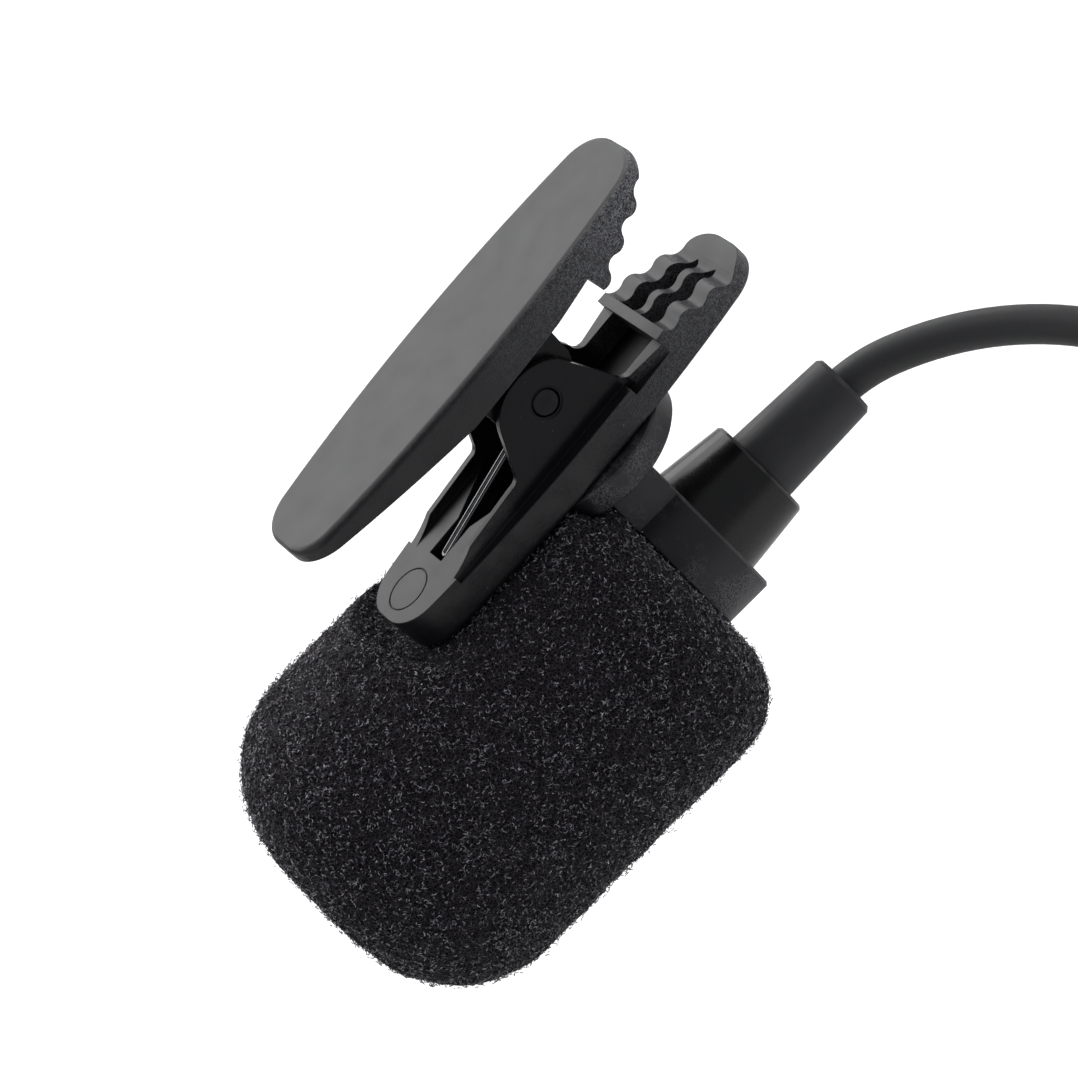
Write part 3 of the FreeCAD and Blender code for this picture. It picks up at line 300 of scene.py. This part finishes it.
def holder_plastic():
    """The ring holder: satin black with rubbed patches of grain, whose light specks are a painted glint."""
    m = Material("holder_plastic")
    fine = m.noise(8.0, 4, 0.7)
    patches = m.noise(0.3, 3)
    grained = m.span(patches, 0.5, 0.66)
    grain = m.cells(7.0)
    # Painted glint: light specks in the grain patches, coloured in where light would catch the grain.
    painted_glints = m.product(grained, m.span(grain, 0.7, 0.15))
    m.set(
        base_color=m.mix_colour(painted_glints, (0.020, 0.019, 0.023), (0.14, 0.14, 0.15)),
        roughness=m.span(patches, 0.35, 0.65, 0.36, 0.48),
        ior=1.5,
    )
    relief = m.product(grain, grained)
    m.bump([(relief, 0.06, 0.9), (fine, 0.003, 0.6)], edge=0.13)
    return m.material


def housing_plastic():
    """The barrel: polished black plastic with faint handling haze."""
    m = Material("housing_plastic")
    haze = m.noise(0.6, 4, 0.6)
    m.set(
        base_color=m.mix_colour(haze, (0.004, 0.004, 0.005), (0.008, 0.008, 0.009)),
        roughness=m.span(haze, 0.3, 0.7, 0.22, 0.32),
        ior=1.5,
    )
    m.bump([(m.noise(1.2, 2), 0.02, 0.35), (m.noise(14, 3), 0.002, 0.4)], edge=0.08)
    return m.material


def plug_plastic():
    """The plug's grip: satin black with a faint moulding texture."""
    m = Material("plug_plastic")
    fine = m.noise(7, 3, 0.6)
    m.set(base_color=m.mix_colour(fine, (0.008, 0.008, 0.009), (0.014, 0.014, 0.015)), roughness=0.38)
    m.bump([(fine, 0.008, 0.5)], edge=0.1)
    return m.material


def tinted_plastic(name, dark, light, roughness, per_mm=3.0):
    """A plain moulded plastic with mottling between two tints. roughness is its smoothest part."""
    m = Material(name)
    mottle = m.noise(per_mm, 3)
    m.set(
        base_color=m.mix_colour(mottle, dark, light),
        roughness=m.span(mottle, 0.3, 0.7, roughness, roughness + 0.12),
    )
    m.bump([(m.noise(per_mm * 5, 3), 0.004, 0.5)])
    return m.material


# ---------------------------------------------------------------- materials: soft parts


def soft_rubber():
    """The strain relief: matt rubber with a fine skin and a lighter bloom."""
    m = Material("soft_rubber")
    bloom = m.noise(0.7, 4, 0.6)
    m.set(
        base_color=m.mix_colour(bloom, (0.024, 0.024, 0.027), (0.040, 0.040, 0.044)),
        roughness=m.span(bloom, 0.3, 0.7, 0.42, 0.55),
        ior=1.48,
    )
    m.bump([(m.noise(10, 4, 0.7), 0.006, 0.6), (m.noise(1.5, 2), 0.015, 0.3)], edge=0.12)
    return m.material


def cable_rubber():
    """The cable's jacket: matt extruded rubber, with faint lengthwise drag and a little dust."""
    m = Material("cable_rubber")
    dust = m.span(m.cells(1.6), 0.07, 0.03)
    drag = m.noise(3.0, 3, 0.6)
    m.set(
        base_color=m.mix_colour(m.math("MULTIPLY", dust, 0.5), (0.030, 0.030, 0.032), (0.09, 0.09, 0.09)),
        roughness=m.span(drag, 0.3, 0.7, 0.44, 0.56),
        ior=1.48,
    )
    m.bump([(drag, 0.012, 0.5), (m.noise(12, 3), 0.004, 0.5)])
    return m.material


def foam_skin():
    """Open-cell foam seen into: near-black hollows, which are painted shade deep in the cells, with thin
    lighter walls between the cells.
    """
    m = Material("foam_skin")
    wall = m.span(m.cells(3.4, "DISTANCE_TO_EDGE"), 0.09, 0.0)
    small_wall = m.span(m.cells(6.5, "DISTANCE_TO_EDGE"), 0.1, 0.0)
    walls = m.math("MAXIMUM", wall, m.math("MULTIPLY", small_wall, 0.6))
    # The near-black colour of the hollows is painted shade.
    m.set(
        base_color=m.mix_colour(walls, (0.007, 0.0055, 0.0075), (0.08, 0.072, 0.086)),
        roughness=m.span(walls, 0, 1, 0.85, 0.45),
        specular_ior_level=m.span(walls, 0, 1, 0.05, 0.5),
    )
    m.bump([(walls, 0.12, 0.9), (m.noise(9, 3), 0.03, 0.5)])
    return m.material


def foam_strand():
    """The struts of the foam: dark, with a sheen; the near-white colour on some struts is a painted glint.
    """
    m = Material("foam_strand")
    # Painted glint: a share of the struts is coloured near-white where light would catch them.
    painted_glint_share = m.math("POWER", m.span(m.noise(3.5, 3, 0.6), 0.35, 0.7), 2.2)
    m.set(
        base_color=m.mix_colour(painted_glint_share, (0.055, 0.048, 0.062), (0.95, 0.93, 1.0)),
        roughness=m.span(m.noise(6, 2), 0.3, 0.7, 0.25, 0.45),
        ior=1.55,
    )
    m.bump([(m.noise(20, 2), 0.006, 0.6)])
    return m.material


def felt():
    """Felt and fine cloth behind the grille."""
    m = Material("felt")
    fibre = m.noise(6, 4, 0.7, stretch=(1, 3, 1))
    m.set(base_color=m.mix_colour(fibre, (0.006, 0.006, 0.006), (0.03, 0.03, 0.03)), roughness=0.95)
    m.bump([(fibre, 0.05, 0.9)])
    return m.material


# ---------------------------------------------------------------- materials: metals and board


def metal(name, dark, light, roughness, lines=(1, 1, 1), depth=0.003):
    """A metal with fine tool marks: lines stretches them, and roughness is its smoothest part."""
    m = Material(name)
    marks = m.noise(8, 3, 0.6, stretch=lines)
    tarnish = m.noise(0.8, 3)
    m.set(
        base_color=m.mix_colour(tarnish, dark, light),
        metallic=1.0,
        roughness=m.span(marks, 0.3, 0.7, roughness, roughness + 0.14),
    )
    m.bump([(marks, depth, 0.6)])
    return m.material


def circuit_board():
    """Green solder mask over a faint weave of glass fibre."""
    m = Material("circuit_board")
    weave = m.add("ShaderNodeTexWave", {"Vector": m.place, "Scale": 2.2}, bands_direction="Y").outputs["Fac"]
    m.set(base_color=m.mix_colour(weave, (0.01, 0.09, 0.03), (0.02, 0.14, 0.05)), roughness=0.3)
    m.bump([(weave, 0.008, 0.5)])
    return m.material


def film():
    """The diaphragm's thin gold-coloured film."""
    m = Material("film")
    ripple = m.noise(1.2, 2)
    m.set(
        base_color=m.mix_colour(ripple, (0.5, 0.42, 0.25), (0.62, 0.54, 0.33)),
        metallic=0.8,
        roughness=0.22,
    )
    m.bump([(ripple, 0.01, 0.3)])
    return m.material


def finish_nodes():
    """Gives every CAD node its material."""
    white = tinted_plastic("white_plastic", (0.6, 0.58, 0.52), (0.75, 0.73, 0.68), 0.45)
    red = tinted_plastic("signal_red", (0.35, 0.02, 0.015), (0.5, 0.04, 0.03), 0.35)
    chip = tinted_plastic("chip_black", (0.012, 0.012, 0.012), (0.03, 0.03, 0.03), 0.5, 8.0)
    steel = metal("pin_steel", (0.02, 0.02, 0.022), (0.04, 0.04, 0.043), 0.35, (3, 0.4, 3))
    grille = metal("grille_steel", (0.07, 0.07, 0.075), (0.12, 0.12, 0.125), 0.35)
    can = metal("capsule_metal", (0.6, 0.61, 0.62), (0.75, 0.76, 0.78), 0.22, (1, 4, 4))
    brass = metal("brass_parts", (0.55, 0.42, 0.18), (0.72, 0.57, 0.28), 0.25)
    copper = metal("copper", (0.6, 0.28, 0.15), (0.8, 0.42, 0.25), 0.3, (1, 6, 6), 0.01)
    gold = metal("gold_plate", (0.78, 0.58, 0.24), (0.9, 0.71, 0.36), 0.12, (6, 1, 1), 0.0015)
    solder = metal("solder", (0.5, 0.5, 0.52), (0.68, 0.68, 0.7), 0.3)
    rubber, plug, clip, housing = soft_rubber(), plug_plastic(), clip_plastic(), housing_plastic()
    cloth, thin_film = felt(), film()
    looks = {
        clip: ["clip_jaw", "clip_lever"],
        holder_plastic(): ["ring_holder"],
        housing: ["rear_housing", "front_housing"],
        rubber: ["strain_relief", "plug_strain_relief", "capsule_boot"],
        cable_rubber(): ["cable_jacket"],
        plug: ["plug_handle", "plug_insulator"],
        steel: ["hinge_pin"],
        grille: ["front_grille"],
        cloth: ["grille_cloth", "capsule_felt"],
        can: ["capsule_can"],
        brass: ["diaphragm_ring", "backplate", "cable_clamp"],
        thin_film: ["diaphragm", "spacer_ring"],
        white: ["backplate_holder", "core_insulation"],
        circuit_board(): ["capsule_board"],
        chip: ["preamp_transistor"],
        solder: ["solder_joints"],
        copper: ["cable_shield", "core_conductor", "ground_lead"],
        red: ["signal_lead"],
        gold: ["plug_sleeve", "plug_ring_rear", "plug_ring_front", "plug_tip"],
    }
    for material, names in looks.items():
        for name in names:
            for place in frame["nodes"][name].material_slots:
                place.material = material


# ---------------------------------------------------------------- the spring's wire


def spring_wire():
    """The torsion spring: a copy of the CAD spring's wire in spring steel, which takes the place of the CAD
    node.
    """
    wire = add_object("spring_wire", frame["nodes"]["torsion_spring"].data.copy())
    steel = metal("spring_steel", (0.12, 0.12, 0.125), (0.3, 0.3, 0.31), 0.16, (6, 6, 1))
    wire.data.materials.clear()
    wire.data.materials.append(steel)
    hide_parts("torsion_spring")
    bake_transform(wire)


# ---------------------------------------------------------------- foam windscreen

# All in millimetres, and heights are measured from the clip's back, along the swivel's axis.
FOAM_STEP = 0.242          # between the skin's points
FOAM_FRONT_ROUND = 8.5
FOAM_REAR_ROUND = 5.0
RING_TOUCH = 0.42          # the soft rear face spreads this far, up to the ring
MOUTH_ROUND = 0.6          # the rounding of the socket's mouth
SOCKET_GAP = 0.08          # round the barrel
SOCKET_AHEAD = 1.2         # the socket goes this far past the grille
CLIP_SWEEP = 18.2          # the clip's tail turns inside this radius of the swivel's axis
CLIP_PRESS = -0.2          # and presses the foam down to this height
BULGE_RISE = 3.2           # beyond the sweep the foam may stand this much higher
BULGE_WIDTH = 2.2          # and it rises over this width
DISC_REACH = 5.8           # the holder's disc presses deeper, out to this radius
DISC_PRESS = -2.15
DISC_EDGE = 0.5            # the width of the step round the disc
PRESS_SOFTNESS = 0.35      # rounds the dents' edges
PRESS_BAND = 1.5           # only foam less than this far below the disc is pressed
SKIN_CELLS_PER_MM = 1.9
PIT_DEPTH = 0.24
PIT_WALL = 0.5             # the share of a cell that its walls slope over
SWELLS = ((0.35, 0.16), (1.4, 0.07))     # waves to a millimetre, and height


def smooth_step(value):
    held = np.clip(value, 0, 1)
    return held * held * (3 - 2 * held)


def arc(centre_x, centre_r, radius, start, end):
    """Points on a quarter-round of the profile, from one angle to another in degrees."""
    count = max(3, int(abs(math.radians(end - start)) * radius / FOAM_STEP))
    angles = np.radians(np.linspace(start, end, count))
    return [(centre_x + radius * math.cos(a), centre_r + radius * math.sin(a)) for a in angles]


def socket_front():
    """Where the foam's socket ends, ahead of the grille."""
    return mic_points("front_grille")[:, 0].min() - SOCKET_AHEAD


def foam_profile():
    """(x, radius) along the foam's outline: front pole, cylinder, rear face, then into the socket."""
    points = mic_points("foam_windscreen")
    front, rear = points[:, 0].min(), points[:, 0].max() + RING_TOUCH
    radius = -points[:, 2].min()
    barrel = np.hypot(*mic_points("front_housing")[:, 1:].T).max()
    socket = barrel + SOCKET_GAP
    front_round, rear_round, mouth = FOAM_FRONT_ROUND, FOAM_REAR_ROUND, MOUTH_ROUND
    corners = [(front, 0.0)]
    corners += arc(front + front_round, radius - front_round, front_round, 180, 90)
    corners += arc(rear - rear_round, radius - rear_round, rear_round, 90, 0)
    corners += arc(rear - mouth, socket + mouth, mouth, 0, -90)
    corners += [(socket_front(), socket), (socket_front(), 0.0)]
    line = np.array(corners)
    lengths = np.hypot(*np.diff(line, axis=0).T)
    travelled = np.concatenate([[0], np.cumsum(lengths)])
    stops = np.linspace(0, travelled[-1], int(travelled[-1] / FOAM_STEP))
    x = np.interp(stops, travelled, line[:, 0])
    r = np.interp(stops, travelled, line[:, 1])
    return x, r


def press(points):
    """The clip and its disc press the top of the foam in, all round the swivel's axis."""
    places = into_clip(points)
    height = places[:, 2]
    reach = np.hypot(places[:, 0], places[:, 1])
    limit = CLIP_PRESS + BULGE_RISE * smooth_step((reach - CLIP_SWEEP) / BULGE_WIDTH)
    rise = smooth_step((reach - DISC_REACH) / DISC_EDGE)
    limit = DISC_PRESS + (limit - DISC_PRESS) * rise
    free = np.clip(0.5 + 0.5 * (limit - height) / PRESS_SOFTNESS, 0, 1)
    pressed = height * free + limit * (1 - free) - PRESS_SOFTNESS * free * (1 - free)
    near = height > DISC_PRESS - PRESS_BAND
    places[:, 2] = np.where(near, np.minimum(height, pressed), height)
    return out_of_clip(places)


def skin_grid():
    """The foam's skin as a grid of rows along the profile by columns around, and the two poles' x."""
    x, r = foam_profile()
    columns = int(2 * math.pi * r.max() / FOAM_STEP)
    turn = np.linspace(0, 2 * math.pi, columns, endpoint=False)
    ring = np.c_[np.cos(turn), np.sin(turn)]
    rows = [np.c_[np.full(columns, x[i]), r[i] * ring] for i in range(1, len(x) - 1)]
    return press(np.vstack(rows)).reshape(len(x) - 2, columns, 3), (x[0], x[-1])


def grid_normals(grid):
    """The outward unit normal at each point of the grid."""
    along = np.gradient(grid, axis=0)
    around = np.roll(grid, -1, axis=1) - np.roll(grid, 1, axis=1)
    normals = np.cross(around, along)
    return normals / np.maximum(np.linalg.norm(normals, axis=2, keepdims=True), 1e-12)


def pit(point):
    """How deep the skin is sunk at a point: 0 on the walls between cells, 1 in their middles."""
    distances, _ = noise.voronoi(Vector(point) * SKIN_CELLS_PER_MM)
    wall = min(1.0, (distances[1] - distances[0]) / PIT_WALL)
    return wall * wall * (3 - 2 * wall)


def swell(point):
    """A slow unevenness of the foam's cut surface."""
    return sum(noise.noise(Vector(point) * per_mm) * height for per_mm, height in SWELLS)


def closed_grid_faces(rows, columns):
    """Quads over the grid, wrapped round, with a fan of triangles to each pole."""
    index = np.arange(rows * columns).reshape(rows, columns)
    following = np.roll(index, -1, axis=1)
    quads = np.stack([index[:-1], following[:-1], following[1:], index[1:]], axis=2).reshape(-1, 4)
    first_pole, last_pole = rows * columns, rows * columns + 1
    faces = quads.tolist()
    faces += [[first_pole, following[0, i], index[0, i]] for i in range(columns)]
    faces += [[last_pole, index[-1, i], following[-1, i]] for i in range(columns)]
    return faces


def foam_piece(name, points_mm, faces, material):
    """A smooth piece of the windscreen, from points in microphone axes and millimetres."""
    mesh = bpy.data.meshes.new(name)
    placed = np.asarray(points_mm) * MM @ np.array(MIC.to_3x3()).T + np.array(MIC.translation)
    mesh.from_pydata(placed.tolist(), [], faces)
    mesh.validate()
    mesh.shade_smooth()
    mesh.materials.append(material)
    piece = add_object(name, mesh)
    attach(piece, "windscreen")
    return piece


def foam_body():
    """The foam's skin, pitted by its cells. Returns the unpitted grid and its normals, for the struts."""
    grid, pole_x = skin_grid()
    normals = grid_normals(grid)
    rows, columns = grid.shape[:2]
    flat = grid.reshape(-1, 3)
    sunk = np.array([swell(p) - PIT_DEPTH * pit(p) for p in flat])
    points = flat + normals.reshape(-1, 3) * sunk[:, None]
    points = np.vstack([points, [(pole_x[0], 0, 0), (pole_x[1], 0, 0)]])
    piece = foam_piece("foam_skin", points, closed_grid_faces(rows, columns), foam_skin())
    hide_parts("foam_windscreen")
    return grid, normals


STRANDS_PER_MM2 = 14
STRAND_PIECES = 5
STRAND_SEED = 41
STRAND_POINTS = 3          # along each strut
STRAND_SIDES = 3           # round it
STRAND_LEAN = 0.4          # the spread of the struts' lean out of the surface, in radians
STRAND_ARC_RADIUS = (0.09, 0.22)
STRAND_HALF_SPAN = (0.5, 1.15)           # half of the arc's angle, in radians
STRAND_TUBE_RADIUS = (0.022, 0.040)
STRAND_END_FLARE = 1.25    # the ends are thicker than that radius
STRAND_WAIST = 0.9         # and the middle is thinner
STRAND_LIFT = (-0.16, 0.03)              # the arc's middle, above the skin
SOCKET_CLEAR = 4.9         # the socket and its mouth, inside this radius, have no struts
DISC_CLEAR = 0.3           # and there are none this close round the disc, or
DISC_DEPTH = 0.5           # less than this far under it


def strand_sites(grid, normals, draw):
    """Random places spread evenly over the grid's area, as (point, normal) arrays."""
    along = np.linalg.norm(np.gradient(grid, axis=0), axis=2)
    around = np.linalg.norm(np.roll(grid, -1, axis=1) - grid, axis=2)
    area = (along * around).ravel()
    count = int(area.sum() * STRANDS_PER_MM2)
    picked = draw.choice(area.size, count, p=area / area.sum())
    jitter = draw.normal(0, FOAM_STEP / 2, (count, 3))
    return grid.reshape(-1, 3)[picked] + jitter, normals.reshape(-1, 3)[picked]


def strand_faces():
    """The triangles of one strut, by its corners' numbers: its sides, then its two ends."""
    faces = []
    for k in range(STRAND_POINTS - 1):
        for side in range(STRAND_SIDES):
            a = STRAND_SIDES * k + side
            b = STRAND_SIDES * k + (side + 1) % STRAND_SIDES
            faces.append((a, b, b + STRAND_SIDES))
            faces.append((a, b + STRAND_SIDES, a + STRAND_SIDES))
    last = STRAND_SIDES * (STRAND_POINTS - 1)
    return faces + [(2, 1, 0), (last, last + 1, last + 2)]


def strand_mesh(sites, normals, draw):
    """Short curved struts: three-sided tubes along arcs that lie in or lean out of the surface."""
    count = len(sites)
    loose = draw.normal(size=(count, 3))
    first = np.cross(normals, loose)
    first /= np.linalg.norm(first, axis=1, keepdims=True)
    second = np.cross(normals, first)
    lean = draw.normal(0, STRAND_LEAN, count)[:, None]
    second = second * np.cos(lean) + normals * np.sin(lean)
    radius = draw.uniform(*STRAND_ARC_RADIUS, count)[:, None]
    half_span = draw.uniform(*STRAND_HALF_SPAN, count)
    thick = draw.uniform(*STRAND_TUBE_RADIUS, count)[:, None]
    lift = draw.uniform(*STRAND_LIFT, count)[:, None]
    centre = sites + normals * lift
    corners = []
    plane_normal = np.cross(first, second)
    for k in range(STRAND_POINTS):
        angle = (half_span * (2 * k / (STRAND_POINTS - 1) - 1))[:, None]
        outward = first * np.cos(angle) + second * np.sin(angle)
        middle = centre + outward * radius
        reach = thick * (STRAND_END_FLARE if k in (0, STRAND_POINTS - 1) else STRAND_WAIST)
        for side in range(STRAND_SIDES):
            turn = side * 2 * math.pi / STRAND_SIDES
            corners.append(middle + (outward * math.cos(turn) + plane_normal * math.sin(turn)) * reach)
    points = np.stack(corners, axis=1).reshape(-1, 3)
    starts = np.arange(count)[:, None, None] * STRAND_SIDES * STRAND_POINTS
    faces = (np.array(strand_faces())[None] + starts).reshape(-1, 3)
    return points, faces.tolist()


def foam_strands(grid, normals):
    """The struts that stand at the foam's cut surface, in a few pieces from front to rear. The socket
    and the place under the holder's disc have none."""
    draw = np.random.default_rng(STRAND_SEED)
    sites, outward = strand_sites(grid, normals, draw)
    places = into_clip(sites)
    reach = np.hypot(places[:, 0], places[:, 1])
    off_disc = (reach > DISC_REACH + DISC_CLEAR) | (places[:, 2] < DISC_PRESS - DISC_DEPTH)
    ahead = sites[:, 0] < socket_front() - 2
    off_socket = (np.hypot(sites[:, 1], sites[:, 2]) > SOCKET_CLEAR) | ahead
    clear = off_disc & off_socket
    sites, outward = sites[clear], outward[clear]
    order = np.argsort(sites[:, 0])
    material = foam_strand()
    for i, share in enumerate(np.array_split(order, STRAND_PIECES)):
        points, faces = strand_mesh(sites[share], outward[share], draw)
        foam_piece(f"foam_strands_{i + 1}", points, faces, material)


# ---------------------------------------------------------------- floor, light and camera


FLOOR_GAP = 30 * MM        # the microphone floats this far over the floor
FLOOR_HALF = 3.0           # half of its width, in metres
FLOOR_LIFT = 0.45          # the camera sees this much more light than the floor gives back
LIGHT_DISTANCE = 0.6       # metres


def stage_floor():
    """A white floor, which looks evenly white to the camera."""
    low, _ = cad_box
    corners = [(x * FLOOR_HALF, y * FLOOR_HALF, 0) for x, y in ((-1, -1), (1, -1), (1, 1), (-1, 1))]
    mesh = bpy.data.meshes.new("floor")
    mesh.from_pydata(corners, [], [(0, 1, 2, 3)])
    floor = add_object("floor", mesh)
    floor.location.z = low.z - FLOOR_GAP
    m = Material("floor_white")
    m.set(base_color=(0.86, 0.86, 0.86), roughness=0.9, specular_ior_level=0.1)
    seen = m.add("ShaderNodeLightPath").outputs["Is Camera Ray"]
    m.set(emission_color=(1, 1, 1), emission_strength=m.math("MULTIPLY", seen, FLOOR_LIFT))
    floor.data.materials.append(m.material)


def direction(a, e):
    """The way to look from, in microphone axes: azimuth a and elevation e, in radians."""
    return Vector((math.sin(a) * math.cos(e), -math.cos(a) * math.cos(e), math.sin(e)))


def softbox(name, azimuth, elevation, width, height, radiance):
    """An area light aimed at the microphone, placed by its direction in microphone axes."""
    data = bpy.data.lights.new(name, "AREA")
    data.shape = "RECTANGLE"
    data.size, data.size_y = width, height
    data.energy = radiance * math.pi * width * height
    lamp = add_object(name, data)
    turned = MIC.to_3x3() @ direction(math.radians(azimuth), math.radians(elevation))
    lamp.location = MIC.translation + turned * LIGHT_DISTANCE
    lamp.rotation_mode = "QUATERNION"
    lamp.rotation_quaternion = turned.to_track_quat("Z", "Y")
    lamp.visible_camera = False


def lights():
    """Four softboxes round the microphone, and a weak cool light from everywhere."""
    softbox("back_softbox", azimuth=180, elevation=32, width=0.9, height=0.5, radiance=2.0)
    softbox("top_softbox", azimuth=200, elevation=75, width=0.6, height=0.6, radiance=1.0)
    softbox("left_softbox", azimuth=-70, elevation=30, width=0.4, height=0.5, radiance=0.6)
    softbox("right_softbox", azimuth=75, elevation=25, width=0.3, height=0.5, radiance=1.0)
    world = bpy.data.worlds.new("studio")
    world.use_nodes = True
    background = world.node_tree.nodes["Background"]
    background.inputs["Color"].default_value = (0.95, 0.97, 1.0, 1)
    background.inputs["Strength"].default_value = 0.25
    bpy.context.scene.world = world


CAMERA_AZIMUTH = math.radians(1.15)      # round the microphone's own axes
CAMERA_ELEVATION = math.radians(31.87)
CAMERA_ROLL = math.radians(45.47)
CAMERA_DISTANCE = 0.3318
CAMERA_TARGET = (-7.20 * MM, 3.58 * MM, 5.99 * MM)
CAMERA_LENS = 166.2        # focal length in millimetres


def camera():
    """The camera looks down on the microphone's side, rolled so that the barrel runs up to the right."""
    a, roll = CAMERA_AZIMUTH, CAMERA_ROLL
    back = direction(a, CAMERA_ELEVATION)
    level = Vector((math.cos(a), math.sin(a), 0))
    upright = back.cross(level)
    right = level * math.cos(roll) - upright * math.sin(roll)
    up = level * math.sin(roll) + upright * math.cos(roll)
    data = bpy.data.cameras.new("camera")
    data.sensor_fit = "HORIZONTAL"
    data.lens = CAMERA_LENS
    data.clip_start = 0.01
    data.clip_end = 20
    eye = add_object("camera", data)
    axes = Matrix((right, up, back)).transposed().to_4x4()
    place = Vector(CAMERA_TARGET) + back * CAMERA_DISTANCE
    eye.matrix_world = MIC @ Matrix.Translation(place) @ axes
    bpy.context.scene.camera = eye


finish_nodes()
spring_wire()
foam_strands(*foam_body())
stage_floor()
lights()
camera()
bpy.context.scene.view_settings.view_transform = "Standard"
